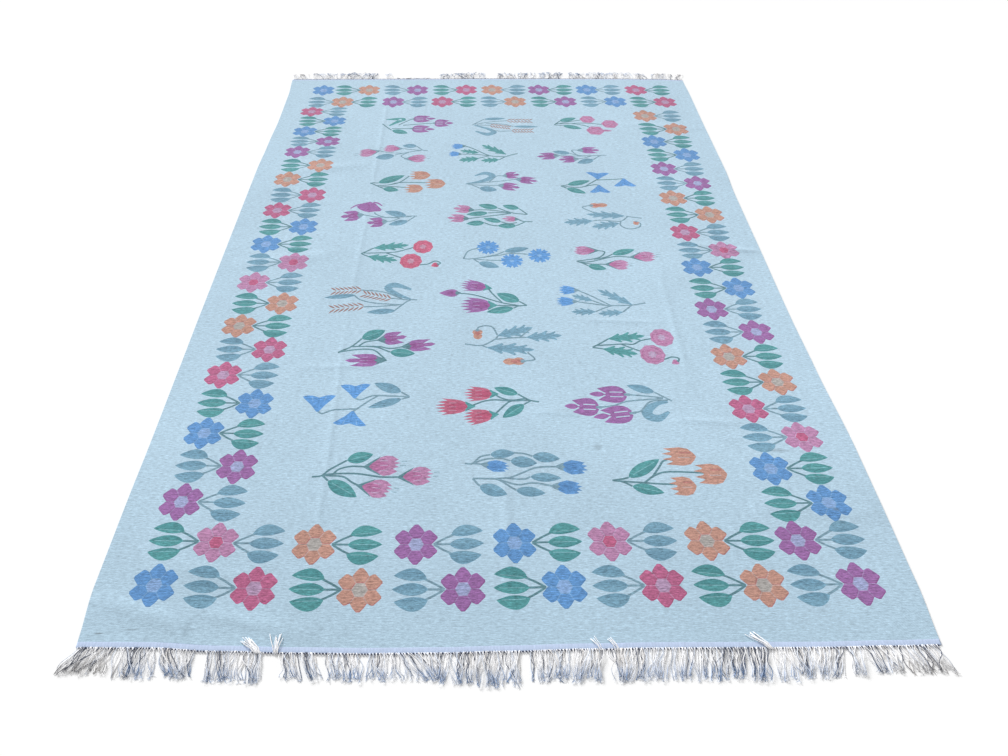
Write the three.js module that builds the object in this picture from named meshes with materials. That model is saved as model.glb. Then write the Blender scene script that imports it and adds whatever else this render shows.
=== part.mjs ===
// A flat-woven wool rug lying flat: one woven cloth, and at each end a pale heading
// band that carries the fringe of warp ends.
// Millimetres, +Z up. The origin is the middle of the underside, and +Y is the far end.
import * as THREE from 'three';

// Driving dimensions
const WIDTH = 1830;
const LENGTH = 2745; // over both heading bands, without the fringe
const CLOTH_THICKNESS = 3;
const HEADING_WIDTH = 12;
const FRINGE_THICKNESS = 2.4;
const PIECE_GAP = 0.3; // between the cloth's edge and a heading band

// Fringe strands: each stands for a few warp ends that lie together
const STRAND_SPACING = 11.5;
const STRAND_ROOT_WIDTH = 5.6;
const STRAND_TIP_WIDTH = 3.2;
const TIP_SPACING_MIN = 5;
const STRAND_UNEVENNESS = 0.09; // share of a strand's length lost on the shortest
const STRAND_BEND = 1.1; // sideways bow at half length

// Steps of the outlines
const END_STEPS = 30;
const SIDE_STEPS = 36;

// How far each long side stands out past a straight line, along the rug
const SIDE_LINE = [
  { y: -1372, left: -11, right: -8 },
  { y: -1230, left: 0, right: 0 },
  { y: -990, left: 1, right: 3 },
  { y: -830, left: 0, right: 4 },
  { y: -550, left: 1, right: -4 },
  { y: -330, left: 2, right: -7 },
  { y: 100, left: 2, right: -4 },
  { y: 370, left: 2, right: -3 },
  { y: 560, left: 2, right: 4 },
  { y: 750, left: -3, right: 3 },
  { y: 970, left: -9, right: 2 },
  { y: 1210, left: -8, right: 3 },
  { y: 1372, left: 0, right: 0 },
];

// How far each end bows out past a straight line, across the rug
const NEAR_END_LINE = [
  { x: -915, out: -7 },
  { x: -760, out: -6 },
  { x: -600, out: 2 },
  { x: -440, out: 6 },
  { x: -300, out: 8 },
  { x: -140, out: 7 },
  { x: -10, out: 4 },
  { x: 160, out: 0 },
  { x: 310, out: -2 },
  { x: 640, out: -2 },
  { x: 810, out: -5 },
  { x: 915, out: -7 },
];
const FAR_END_LINE = [
  { x: -915, out: 2 },
  { x: -400, out: 5 },
  { x: 0, out: 9 },
  { x: 530, out: 8 },
  { x: 800, out: 3 },
  { x: 915, out: -6 },
];

// Clumps of fringe, left to right: where the roots and the tips begin and end, and the length
const NEAR_CLUMPS = [
  { rootFrom: -899, rootTo: -822, tipFrom: -924, tipTo: -830, length: 53 },
  { rootFrom: -818, rootTo: -735, tipFrom: -807, tipTo: -730, length: 62 },
  { rootFrom: -735, rootTo: -652, tipFrom: -703, tipTo: -649, length: 59 },
  { rootFrom: -633, rootTo: -563, tipFrom: -619, tipTo: -560, length: 61 },
  { rootFrom: -561, rootTo: -513, tipFrom: -547, tipTo: -501, length: 63 },
  { rootFrom: -476, rootTo: -440, tipFrom: -466, tipTo: -424, length: 57 },
  { rootFrom: -438, rootTo: -403, tipFrom: -412, tipTo: -385, length: 54 },
  { rootFrom: -380, rootTo: -310, tipFrom: -366, tipTo: -304, length: 57 },
  { rootFrom: -293, rootTo: -237, tipFrom: -288, tipTo: -223, length: 55 },
  { rootFrom: -235, rootTo: -202, tipFrom: -215, tipTo: -169, length: 55 },
  { rootFrom: -198, rootTo: -144, tipFrom: -163, tipTo: -140, length: 55 },
  { rootFrom: -144, rootTo: -65, tipFrom: -138, tipTo: -66, length: 63 },
  { rootFrom: -65, rootTo: 24, tipFrom: -62, tipTo: 21, length: 71 },
  { rootFrom: 43, rootTo: 128, tipFrom: 46, tipTo: 123, length: 62 },
  { rootFrom: 132, rootTo: 197, tipFrom: 129, tipTo: 183, length: 65 },
  { rootFrom: 207, rootTo: 273, tipFrom: 208, tipTo: 260, length: 66 },
  { rootFrom: 273, rootTo: 336, tipFrom: 266, tipTo: 317, length: 66 },
  { rootFrom: 336, rootTo: 384, tipFrom: 334, tipTo: 370, length: 65 },
  { rootFrom: 384, rootTo: 456, tipFrom: 384, tipTo: 443, length: 65 },
  { rootFrom: 458, rootTo: 492, tipFrom: 455, tipTo: 478, length: 64 },
  { rootFrom: 496, rootTo: 542, tipFrom: 493, tipTo: 530, length: 67 },
  { rootFrom: 550, rootTo: 583, tipFrom: 545, tipTo: 582, length: 69 },
  { rootFrom: 583, rootTo: 631, tipFrom: 596, tipTo: 617, length: 62 },
  { rootFrom: 633, rootTo: 700, tipFrom: 629, tipTo: 682, length: 62 },
  { rootFrom: 702, rootTo: 735, tipFrom: 706, tipTo: 725, length: 57 },
  { rootFrom: 739, rootTo: 770, tipFrom: 756, tipTo: 775, length: 55 },
  { rootFrom: 772, rootTo: 806, tipFrom: 783, tipTo: 808, length: 54 },
  { rootFrom: 812, rootTo: 897, tipFrom: 824, tipTo: 911, length: 58 },
];
const FAR_CLUMPS = [
  { rootFrom: -905, rootTo: -883, tipFrom: -925, tipTo: -903, length: 52 },
  { rootFrom: -880, rootTo: -841, tipFrom: -892, tipTo: -852, length: 56 },
  { rootFrom: -817, rootTo: -719, tipFrom: -822, tipTo: -724, length: 66 },
  { rootFrom: -719, rootTo: -620, tipFrom: -716, tipTo: -622, length: 68 },
  { rootFrom: -620, rootTo: -521, tipFrom: -618, tipTo: -524, length: 66 },
  { rootFrom: -479, rootTo: -450, tipFrom: -476, tipTo: -455, length: 60 },
  { rootFrom: -431, rootTo: -266, tipFrom: -430, tipTo: -265, length: 14 },
  { rootFrom: -224, rootTo: -177, tipFrom: -222, tipTo: -176, length: 55 },
  { rootFrom: -154, rootTo: -55, tipFrom: -152, tipTo: -58, length: 66 },
  { rootFrom: -41, rootTo: -12, tipFrom: -40, tipTo: -14, length: 64 },
  { rootFrom: 44, rootTo: 129, tipFrom: 46, tipTo: 130, length: 60 },
  { rootFrom: 143, rootTo: 223, tipFrom: 146, tipTo: 226, length: 68 },
  { rootFrom: 237, rootTo: 341, tipFrom: 246, tipTo: 352, length: 70 },
  { rootFrom: 388, rootTo: 483, tipFrom: 390, tipTo: 484, length: 64 },
  { rootFrom: 483, rootTo: 582, tipFrom: 484, tipTo: 582, length: 68 },
  { rootFrom: 582, rootTo: 681, tipFrom: 584, tipTo: 680, length: 68 },
  { rootFrom: 690, rootTo: 752, tipFrom: 694, tipTo: 752, length: 66 },
  { rootFrom: 771, rootTo: 865, tipFrom: 778, tipTo: 868, length: 62 },
  { rootFrom: 874, rootTo: 910, tipFrom: 890, tipTo: 925, length: 62 },
];

const { lerp, smoothstep } = THREE.MathUtils;

// A column of a table, read smoothly between the two rows on either side of a place
function readTable(rows, placeColumn, valueColumn, place) {
  const last = rows.length - 2;
  const found = rows.findIndex((row, i) => i > 0 && row[placeColumn] >= place) - 1;
  const index = found < 0 ? last : Math.min(found, last);
  const before = rows[index];
  const after = rows[index + 1];
  const share = smoothstep(place, before[placeColumn], after[placeColumn]);
  return lerp(before[valueColumn], after[valueColumn], share);
}

// Distance of an end's outer edge from the middle of the rug
function endReach(endLine, x) {
  return LENGTH / 2 + readTable(endLine, 'x', 'out', x);
}

// Even steps from one value to another, both included
function steps(from, to, count) {
  return Array.from({ length: count + 1 }, (_, i) => lerp(from, to, i / count));
}

// Where a long side lies, at a place along the rug
function sideAt(column, y) {
  const out = column === 'left' ? -1 : 1;
  return out * (WIDTH / 2 + readTable(SIDE_LINE, 'y', column, y));
}

// Even places across an end, from corner to corner
function acrossEnd(direction) {
  const y = (direction * LENGTH) / 2;
  return steps(sideAt('left', y), sideAt('right', y), END_STEPS);
}

function clothShape() {
  const inset = HEADING_WIDTH + PIECE_GAP;
  const near = acrossEnd(-1).map((x) => new THREE.Vector2(x, inset - endReach(NEAR_END_LINE, x)));
  const far = acrossEnd(1).map((x) => new THREE.Vector2(x, endReach(FAR_END_LINE, x) - inset));
  const sidePoints = (column, cornerX) => {
    const from = inset - endReach(NEAR_END_LINE, cornerX);
    const to = endReach(FAR_END_LINE, cornerX) - inset;
    const along = steps(from, to, SIDE_STEPS).slice(1, -1);
    return along.map((y) => new THREE.Vector2(sideAt(column, y), y));
  };
  const right = sidePoints('right', WIDTH / 2);
  const left = sidePoints('left', -WIDTH / 2);
  return new THREE.Shape([...near, ...right, ...far.reverse(), ...left.reverse()]);
}

// The strands of one clump: root and tip places, length and sideways bow
function clumpStrands(clump, clumpIndex) {
  const rootWidth = clump.rootTo - clump.rootFrom;
  const tipWidth = clump.tipTo - clump.tipFrom;
  const wanted = Math.round(rootWidth / STRAND_SPACING);
  const count = Math.max(1, Math.min(wanted, Math.floor(tipWidth / TIP_SPACING_MIN)));
  return Array.from({ length: count }, (_, i) => {
    const share = (i + 0.5) / count;
    const wave = Math.sin(2.4 * i + 1.7 * clumpIndex);
    return {
      root: lerp(clump.rootFrom, clump.rootTo, share),
      tip: lerp(clump.tipFrom, clump.tipTo, share),
      length: clump.length * (1 - STRAND_UNEVENNESS * (0.5 + 0.5 * wave)),
      bend: STRAND_BEND * Math.sin(1.9 * i + clumpIndex),
    };
  });
}

// A strand's outline from its right root, round its tip, to its left root
function strandOutline(strand, rootReach) {
  const stations = [
    { share: 0, width: STRAND_ROOT_WIDTH, bend: 0 },
    { share: 0.5, width: (STRAND_ROOT_WIDTH + STRAND_TIP_WIDTH) / 2, bend: strand.bend },
    { share: 1, width: STRAND_TIP_WIDTH, bend: 0 },
  ];
  const edge = (side) => stations.map(({ share, width, bend }) => {
    const middle = lerp(strand.root, strand.tip, share) + bend;
    return new THREE.Vector2(middle + (side * width) / 2, rootReach + share * strand.length);
  });
  return [...edge(1), ...edge(-1).reverse()];
}

// A heading band and its strands as one outline, drawn with the end pointing to +Y
function fringeOutline(endLine, clumps, direction) {
  const inner = acrossEnd(direction);
  const innerEdge = inner.map((x) => new THREE.Vector2(x, endReach(endLine, x) - HEADING_WIDTH));
  const strands = clumps.flatMap(clumpStrands);
  const outerEdge = strands.reverse().flatMap((strand) => (
    strandOutline(strand, endReach(endLine, strand.root))
  ));
  const [rightCorner, leftCorner] = [inner.at(-1), inner[0]].map((x) => (
    new THREE.Vector2(x, endReach(endLine, x))
  ));
  return [...innerEdge, rightCorner, ...outerEdge, leftCorner];
}

function extrudeFlat(shape, thickness) {
  return new THREE.ExtrudeGeometry(shape, { depth: thickness, bevelEnabled: false });
}

function wovenCloth() {
  const wool = new THREE.MeshStandardMaterial({ color: 0xb6d2e6, roughness: 0.95, metalness: 0 });
  const cloth = new THREE.Mesh(extrudeFlat(clothShape(), CLOTH_THICKNESS), wool);
  cloth.name = 'woven_cloth';
  return cloth;
}

function fringe(name, endLine, clumps, direction) {
  const cotton = new THREE.MeshStandardMaterial({ color: 0xd6d9e0, roughness: 0.9, metalness: 0 });
  const outline = fringeOutline(endLine, clumps, direction);
  const placed = outline.map(({ x, y }) => new THREE.Vector2(x, direction * y));
  const mesh = new THREE.Mesh(extrudeFlat(new THREE.Shape(placed), FRINGE_THICKNESS), cotton);
  mesh.name = name;
  return mesh;
}

const rug = new THREE.Group();
rug.add(wovenCloth());
rug.add(fringe('fringe_near', NEAR_END_LINE, NEAR_CLUMPS, -1));
rug.add(fringe('fringe_far', FAR_END_LINE, FAR_CLUMPS, 1));

export default rug;
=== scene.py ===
# Looks of a flat-woven wool rug: the charted cloth and its two fringes, on a pale floor.
import math

import bpy
import numpy as np
from mathutils import Matrix, Vector
from mathutils.geometry import delaunay_2d_cdt


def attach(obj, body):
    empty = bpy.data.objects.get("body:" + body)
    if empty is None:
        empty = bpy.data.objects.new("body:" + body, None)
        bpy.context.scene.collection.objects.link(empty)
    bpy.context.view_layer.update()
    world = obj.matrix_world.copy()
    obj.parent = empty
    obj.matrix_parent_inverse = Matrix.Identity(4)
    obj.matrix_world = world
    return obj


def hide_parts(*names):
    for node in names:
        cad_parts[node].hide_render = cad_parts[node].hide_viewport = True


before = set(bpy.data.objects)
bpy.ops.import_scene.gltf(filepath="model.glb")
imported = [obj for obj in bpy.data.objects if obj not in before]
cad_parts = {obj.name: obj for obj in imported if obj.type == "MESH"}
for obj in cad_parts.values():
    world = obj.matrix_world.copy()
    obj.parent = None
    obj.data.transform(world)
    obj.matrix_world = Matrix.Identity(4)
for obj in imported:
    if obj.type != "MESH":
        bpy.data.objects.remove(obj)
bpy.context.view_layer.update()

# Driving sizes in millimetres: x across the rug, y along it to the far end, z up
MM = 0.001
WIDTH = 1830.0
LENGTH = 2745.0
THICKNESS = 3.0
HEADING_WIDTH = 12.0
PIECE_GAP = 0.3
HALF_WIDTH = WIDTH / 2
HALF_CLOTH = LENGTH / 2 - HEADING_WIDTH - PIECE_GAP
UNDERSIDE = 0.2

# The cloth's mesh: steps of the loose grid, and rows of points along and across each crease
GRID_ACROSS = 60
GRID_ALONG = 90
CREASE_STEP = 16.0
CREASE_ROWS = (-1.8, -1.2, -0.8, -0.4, 0.0, 0.4, 0.8, 1.2, 1.8)
RIM_INSET = 4.0
# The rim: how close to it a corner counts as on it, how its edges are rounded and how far the sides swell
RIM_TOLERANCE = 0.01
SIDE_ROUNDING = 0.4
END_ROUNDING = 0.05
SIDE_SWELL = 0.7
# A length above that of any side, to number the rim's corners side after side
RIM_LEG = 4000
# Outlines with more points than this are thinned on the underside
LONG_OUTLINE = 11
# The bake map: size and margin of the upper side, size and start of the underside
MAP_SIZE = 0.985
MAP_MARGIN = 0.005
UNDER_SIZE = 0.48
UNDER_START = 0.675

# The design is laid out on units of a thousandth of the width, from the far left corner
DESIGN_UNIT = WIDTH / 1000
DESIGN_MIDDLE = (500, 750)

# Weave, and how strongly the ground and the coloured yarns are flecked and given painted shade in the hollows
# of the weave
GROUND_FLECK_AND_SHADE = 1.0
YARN_FLECK_AND_SHADE = 1.9
WARP_PITCH = 3.4 * MM
PICK_PITCH = 1.7 * MM

# How far the sides and the ends stand out past straight lines
SIDE_Y = (-1372, -1230, -990, -830, -550, -330, 100, 370, 560, 750, 970, 1210, 1372)
SIDE_LEFT = (-11, 0, 1, 0, 1, 2, 2, 2, 2, -3, -9, -8, 0)
SIDE_RIGHT = (-8, 0, 3, 4, -4, -7, -4, -3, 4, 3, 2, 3, 0)
NEAR_X = (-915, -760, -600, -440, -300, -140, -10, 160, 310, 640, 810, 915)
NEAR_OUT = (-7, -6, 2, 6, 8, 7, 4, 0, -2, -2, -5, -7)
FAR_X = (-915, -400, 0, 530, 800, 915)
FAR_OUT = (2, 5, 9, 8, 3, -6)

# Creases: both ends, half width and height of the soft ridge
CREASES = [
    ((-457, 1290), (-452, 350), 9, 2.2),
    ((-452, 350), (-460, -330), 10, 1.9),
    ((-460, -330), (-438, -1180), 9, 2.0),
    ((2, -760), (8, -1360), 12, 2.2),
    ((546, -60), (540, -620), 12, 2.2),
    ((780, 30), (913, 14), 12, 4.2),
    ((690, 60), (800, 34), 14, 2.2),
    ((-905, -1262), (-690, -1330), 22, 4.4),
    ((-800, -1180), (-560, -1215), 24, 2.6),
    ((-690, -1285), (-420, -1335), 18, 2.8),
    ((250, -335), (520, -350), 10, 1.7),
    ((-590, -540), (-310, -532), 10, 1.5),
    ((90, -712), (230, -720), 10, 1.7),
    ((470, -742), (640, -756), 10, 1.9),
    ((560, 930), (880, 890), 20, 2.6),
    ((-860, 520), (-470, 600), 26, 2.9),
    ((-880, -60), (-520, 10), 26, 2.6),
    ((600, -1010), (900, -1050), 24, 2.4),
]

# Yarn colours as seen, in sRGB. Each also comes lighter and paler, towards the ground, and deeper.
YARNS = {
    "ground": (181, 208, 226),
    "stem": (96, 136, 147), "stem_grey": (124, 156, 173),
    "green": (86, 153, 157), "grey": (121, 163, 186),
    "blue": (97, 148, 203), "sky": (98, 155, 216),
    "pink": (184, 134, 173), "rose": (184, 103, 141), "orange": (191, 146, 132),
    "plum": (153, 106, 164), "coral": (187, 104, 131), "red": (198, 108, 136),
    "wheat": (158, 126, 122),
    "pink_heart": (187, 99, 136), "rose_heart": (180, 150, 183), "orange_heart": (173, 169, 166),
    "plum_heart": (159, 167, 206), "blue_heart": (134, 168, 213),
}
LIGHT_SHARE = 0.22
PALE_SHARE = 0.38
WARM_DEEP = (0.96, 0.85, 0.91)
COOL_DEEP = (0.92, 0.94, 0.95)
for name, tone in list(YARNS.items()):
    for mark, share in (("_light", LIGHT_SHARE), ("_pale", PALE_SHARE)):
        YARNS[name + mark] = tuple(a + (b - a) * share for a, b in zip(tone, YARNS["ground"]))
    factors = WARM_DEEP if tone[0] > tone[1] else COOL_DEEP
    YARNS[name + "_deep"] = tuple(a * factor for a, factor in zip(tone, factors))
YARN_NUMBER = {name: number for number, name in enumerate(YARNS)}
STEM_OF_LEAF = {"green": "stem", "grey": "stem_grey"}

# Border: place along, column of the flower, its yarn and the yarn of its leaves
LEFT_COLUMNS = (72, 133)
LEFT_BORDER = [
    (180, 0, "rose", "grey"), (228, 1, "blue", "green"), (278, 0, "blue", "green"),
    (325, 1, "plum", "grey"), (372, 0, "plum", "grey"), (430, 1, "orange", "green"),
    (487, 0, "orange", "green"), (547, 1, "rose", "grey"), (603, 0, "rose", "grey"),
    (660, 1, "blue", "green"), (717, 0, "blue", "green"), (774, 1, "pink", "grey"),
    (832, 0, "pink", "grey"), (890, 1, "orange", "green"), (948, 0, "orange", "green"),
    (1005, 1, "rose", "grey"), (1063, 0, "rose", "grey"), (1122, 1, "blue", "green"),
    (1181, 0, "blue", "green"), (1240, 1, "plum", "grey"), (1300, 0, "plum", "grey"),
]
RIGHT_COLUMNS = (870, 931)
RIGHT_BORDER = [
    (203, 0, "orange", "grey"), (268, 1, "orange", "green"), (327, 0, "blue", "green"),
    (386, 1, "blue", "green"), (445, 0, "plum", "grey"), (503, 1, "plum", "grey"),
    (560, 0, "orange", "green"), (620, 1, "orange", "green"), (680, 0, "rose", "grey"),
    (738, 1, "pink", "grey"), (790, 0, "blue", "green"), (850, 1, "blue", "green"),
    (907, 0, "plum", "grey"), (965, 1, "plum", "grey"), (1023, 0, "orange", "green"),
    (1080, 1, "orange", "green"), (1135, 0, "rose", "grey"), (1190, 1, "pink", "grey"),
    (1246, 0, "blue", "green"), (1304, 1, "blue", "green"),
]
# Border rows at the ends: place across and yarn of the leaves, place across and yarn of the flower
END_BORDERS = {
    65: [
        (None, None, 85, "blue"), (145, "green", 200, "orange"), (262, "grey", 322, "plum"),
        (386, "green", 445, "rose"), (565, "grey", 510, "orange"), (686, "green", 627, "plum"),
        (806, "grey", 747, "blue"), (928, "green", 870, "rose"),
    ],
    130: [
        (85, "grey", 140, "orange"), (197, "green", 140, None), (322, "grey", 265, "plum"),
        (443, "green", 386, "rose"), (510, "grey", 565, "orange"), (630, "green", 688, "plum"),
        (752, "grey", 810, "blue"), (875, "green", 931, "rose"),
    ],
    1360: [
        (75, "green", 133, "pink"), (187, "grey", 133, None), (320, "green", 258, "orange"),
        (443, "grey", 387, "plum"), (565, "green", 512, "blue"), (690, "grey", 633, "pink"),
        (808, "green", 757, "orange"), (928, "grey", 873, "plum"),
    ],
    1422: [
        (None, None, 72, "blue"), (145, "grey", 194, "rose"), (268, "green", 322, "orange"),
        (392, "grey", 447, "plum"), (515, "green", 570, "blue"), (633, "grey", 690, "rose"),
        (757, "green", 813, "orange"), (872, "grey", 931, "plum"),
    ],
}
BORDER_PITCH = 58

# Fringe clumps, left to right: roots from and to, tips from and to, length
NEAR_CLUMPS = [
    (-899, -822, -924, -830, 53), (-818, -735, -807, -730, 62), (-735, -652, -703, -649, 59),
    (-633, -563, -619, -560, 61), (-561, -513, -547, -501, 63), (-476, -440, -466, -424, 57),
    (-438, -403, -412, -385, 54), (-380, -310, -366, -304, 57), (-293, -237, -288, -223, 55),
    (-235, -202, -215, -169, 55), (-198, -144, -163, -140, 55), (-144, -65, -138, -66, 63),
    (-65, 24, -62, 21, 71), (43, 128, 46, 123, 62), (132, 197, 129, 183, 65),
    (207, 273, 208, 260, 66), (273, 336, 266, 317, 66), (336, 384, 334, 370, 65),
    (384, 456, 384, 443, 65), (458, 492, 455, 478, 64), (496, 542, 493, 530, 67),
    (550, 583, 545, 582, 69), (583, 631, 596, 617, 62), (633, 700, 629, 682, 62),
    (702, 735, 706, 725, 57), (739, 770, 756, 775, 55), (772, 806, 783, 808, 54),
    (812, 897, 824, 911, 58),
]
FAR_CLUMPS = [
    (-905, -883, -925, -903, 52), (-880, -841, -892, -852, 56), (-817, -719, -822, -724, 66),
    (-719, -620, -716, -622, 68), (-620, -521, -618, -524, 66), (-479, -450, -476, -455, 60),
    (-431, -266, -430, -265, 14), (-224, -177, -222, -176, 55), (-154, -55, -152, -58, 66),
    (-41, -12, -40, -14, 64), (44, 129, 46, 130, 60), (143, 223, 146, 226, 68),
    (237, 341, 246, 352, 70), (388, 483, 390, 484, 64), (483, 582, 484, 582, 68),
    (582, 681, 584, 680, 68), (690, 752, 694, 752, 66), (771, 865, 778, 868, 62),
    (874, 910, 890, 925, 62),
]
# Tufts thrown back over the near heading: root, tip, reach back over the cloth, strands
NEAR_FLIPPED = [
    (-514, -552, 27, 13), (-485, -488, 37, 8), (193, 178, 24, 4), (230, 217, 22, 4), (553, 508, 29, 10),
]


def smooth_read(places, values, at):
    """A column of a table, read smoothly between its rows."""
    places = np.asarray(places, float)
    values = np.asarray(values, float)
    index = np.clip(np.searchsorted(places, at) - 1, 0, len(places) - 2)
    share = np.clip((at - places[index]) / (places[index + 1] - places[index]), 0, 1)
    share = share * share * (3 - 2 * share)
    return values[index] + share * (values[index + 1] - values[index])


def settle(x, y):
    """Where a point of the true rectangle lies on the rug's uneven outline."""
    side = np.where(x < 0, -smooth_read(SIDE_Y, SIDE_LEFT, y), smooth_read(SIDE_Y, SIDE_RIGHT, y))
    end = np.where(y < 0, -smooth_read(NEAR_X, NEAR_OUT, x), smooth_read(FAR_X, FAR_OUT, x))
    return x + np.abs(x) / HALF_WIDTH * side, y + np.abs(y) / HALF_CLOTH * end


def relief(x, y):
    """Height of the creases and of the cloth's slow waves above flat."""
    height = 0.35 + 0.2 * np.sin(x / 170 + 1.3) * np.sin(y / 230) + 0.15 * np.sin(x / 90 - y / 310)
    for (x0, y0), (x1, y1), half_width, rise in CREASES:
        length = math.hypot(x1 - x0, y1 - y0)
        along = ((x - x0) * (x1 - x0) + (y - y0) * (y1 - y0)) / length ** 2
        off = ((x - x0) * (y1 - y0) - (y - y0) * (x1 - x0)) / length
        fade = np.sin(math.pi * np.clip(along, 0, 1)) ** 0.6
        height = height + rise * fade * np.exp(-(off / half_width) ** 2)
    return height


# Outlines drawn as (share of the length, share of the half width), one edge each
def mirrored(edge):
    back = [(along, -across) for along, across in reversed(edge) if across]
    return list(edge) + back


def leaf_edge(share):
    """Half width of a leaf, at a share of its length."""
    return max(math.sin(math.pi * share ** 0.85), 0) ** 0.8


LEAF = mirrored([(s, leaf_edge(s)) for s in np.linspace(0, 1, 13)])
LEAF_HALF = [(s, -leaf_edge(s)) for s in np.linspace(0.04, 0.97, 10)] + [(0.95, 0.02), (0.06, 0.02)]
DROP = mirrored([(s, max(math.sin(math.pi * s ** 0.7), 0)) for s in np.linspace(0, 1, 9)])
TOOTHED = mirrored([
    (0, 0.08), (0.1, 0.3), (0.3, 0.86), (0.34, 0.72), (0.3, 0.46), (0.42, 0.6), (0.58, 1.0), (0.62, 0.82),
    (0.55, 0.48), (0.66, 0.5), (0.82, 0.78), (0.84, 0.62), (0.77, 0.32), (0.88, 0.3), (1, 0),
])
TULIP = mirrored([
    (0, 0.1), (0.1, 0.5), (0.28, 0.94), (0.5, 1.0), (0.86, 0.86), (0.72, 0.56), (0.6, 0.24), (0.72, 0.3),
    (0.86, 0.3), (1, 0),
])
SPIKED = mirrored([
    (0, 0.12), (0.1, 0.46), (0.26, 0.76), (0.46, 0.92), (0.84, 1.04), (0.66, 0.76), (0.95, 0.6), (0.72, 0.38),
    (1.02, 0.16), (0.74, 0.04),
])
TEARDROP = [
    (0, 0.06), (0.2, 0.42), (0.42, 0.86), (0.58, 1.0), (0.76, 0.9), (0.93, 0.5), (0.8, 0.36), (0.98, 0.16),
    (0.8, 0.02), (0.93, -0.2), (0.76, -0.34), (0.88, -0.66), (0.68, -0.95), (0.5, -1.0), (0.28, -0.66),
    (0.1, -0.26), (0, -0.06),
]
LILY = mirrored([
    (-0.03, 0.03), (0.04, 0.4), (0.18, 0.84), (0.42, 1.0), (0.92, 0.86), (0.72, 0.6), (0.7, 0.5), (1.0, 0.28),
    (0.74, 0.12), (0.7, 0.04),
])
BELL = mirrored([(0, 0.07), (0.4, 0.42), (0.78, 0.86), (0.93, 1.0), (1.0, 0.72), (0.98, 0.4), (0.86, 0.03)])
TUFT = mirrored([
    (0, 0.14), (0.2, 0.56), (0.45, 0.84), (0.8, 1.0), (0.72, 0.72), (0.98, 0.56), (0.74, 0.34), (1.0, 0.16),
    (0.82, 0.02),
])
PEAR = mirrored([(0, 0.2), (0.12, 0.8), (0.3, 1.0), (0.5, 0.72), (0.72, 0.86), (0.9, 0.6), (1, 0.02)])
JAGGED = mirrored([
    (0, 0.1), (0.2, 0.6), (0.45, 1.0), (0.68, 0.9), (0.9, 0.72), (0.8, 0.42), (1.0, 0.3), (0.86, 0.04),
])
BUD_OUTLINES = {"orange": PEAR, "blue": JAGGED}
CORE = mirrored([(0.08, 0.08), (0.22, 0.4), (0.42, 0.5), (0.6, 0.24), (0.66, 0.02)])
GOBLET = mirrored([(-0.14, 0.07), (-0.02, 0.3), (0.14, 0.64), (0.15, 0.42), (0.1, 0.18), (0.08, 0.02)])
CUP_EDGES = mirrored([(-0.06, 0.06), (0.2, 0.56), (0.42, 0.96), (0.38, 0.76), (0.18, 0.3), (0.1, 0.02)])
SEPALS = mirrored([(-0.08, 0.1), (0.06, 0.42), (0.22, 0.68), (0.16, 0.3), (0.24, 0.02)])
IRIS_BODY = [
    (-225, 63), (-212, 44), (-194, 31), (-175, 24), (-160, 29), (-136, 31), (-131, 42), (-157, 81),
    (-178, 94), (-204, 84),
]

# A border flower in millimetres from its middle: the corners of its middle and of two petals
HEART = [(19, 0), (10, 17), (-10, 17), (-19, 0), (-10, -17), (10, -17)]
END_PETAL = [(10, 17), (19, 32), (12.5, 43), (4, 52.5), (-4, 52.5), (-12.5, 43), (-19, 32), (-10, 17)]
SIDE_PETAL = [(19, 0), (37, 1), (49.5, 16), (49, 21), (33, 37), (28, 37), (19, 32), (10, 17)]
PETAL_INSET = 0.96
PETAL_SHIFT = (-1.0, 1.8)
SEAM_ENDS = [((19, 0), (37, 0)), ((10, 17), (19, 32)), ((-10, 17), (-19, 32))]
HEART_INSET = 0.9
# Leaves beside a border flower, in millimetres from their joint: base, tip, width, outward bulge
TRIO_LEAVES = [
    ((-32, 26), (-107, 34), 31, 0.45), ((-28, 0), (-109, 1), 31, 0.0), ((-28, -26), (-103, -29), 34, -0.45),
]


def on_line(base, tip, width, outline):
    """An outline set on the line from base to tip."""
    base = np.array(base, float)
    axis = np.array(tip, float) - base
    side = np.array([-axis[1], axis[0]]) / np.hypot(*axis)
    shares = np.array(outline, float)
    return base + shares[:, :1] * axis + shares[:, 1:] * side * width / 2


def bar(low, high, across, half):
    """A narrow bar on the line, in the same shares as the outlines."""
    return [(low, across - half), (high, across - half), (high, across + half), (low, across + half)]


def on_curve(points, widths, steps=5):
    """The outline of a band of changing width along a smooth curve."""
    points = np.array(points, float)
    ends = np.vstack([2 * points[0] - points[1], points, 2 * points[-1] - points[-2]])
    share = np.linspace(0, 1, steps, endpoint=False)[:, None]
    middle = []
    for a, b, c, d in zip(ends, ends[1:], ends[2:], ends[3:]):
        turn = (2 * a - 5 * b + 4 * c - d) * share ** 2 + (3 * b - a - 3 * c + d) * share ** 3
        middle.append(0.5 * (2 * b + (c - a) * share + turn))
    middle = np.vstack(middle + [points[-1:]])
    slope = np.gradient(middle, axis=0)
    side = np.column_stack([-slope[:, 1], slope[:, 0]]) / np.hypot(*slope.T)[:, None]
    places = np.linspace(0, len(middle) - 1, len(widths))
    half = np.interp(np.arange(len(middle)), places, widths)[:, None] / 2
    return np.vstack([middle + side * half, (middle - side * half)[::-1]])


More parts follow.
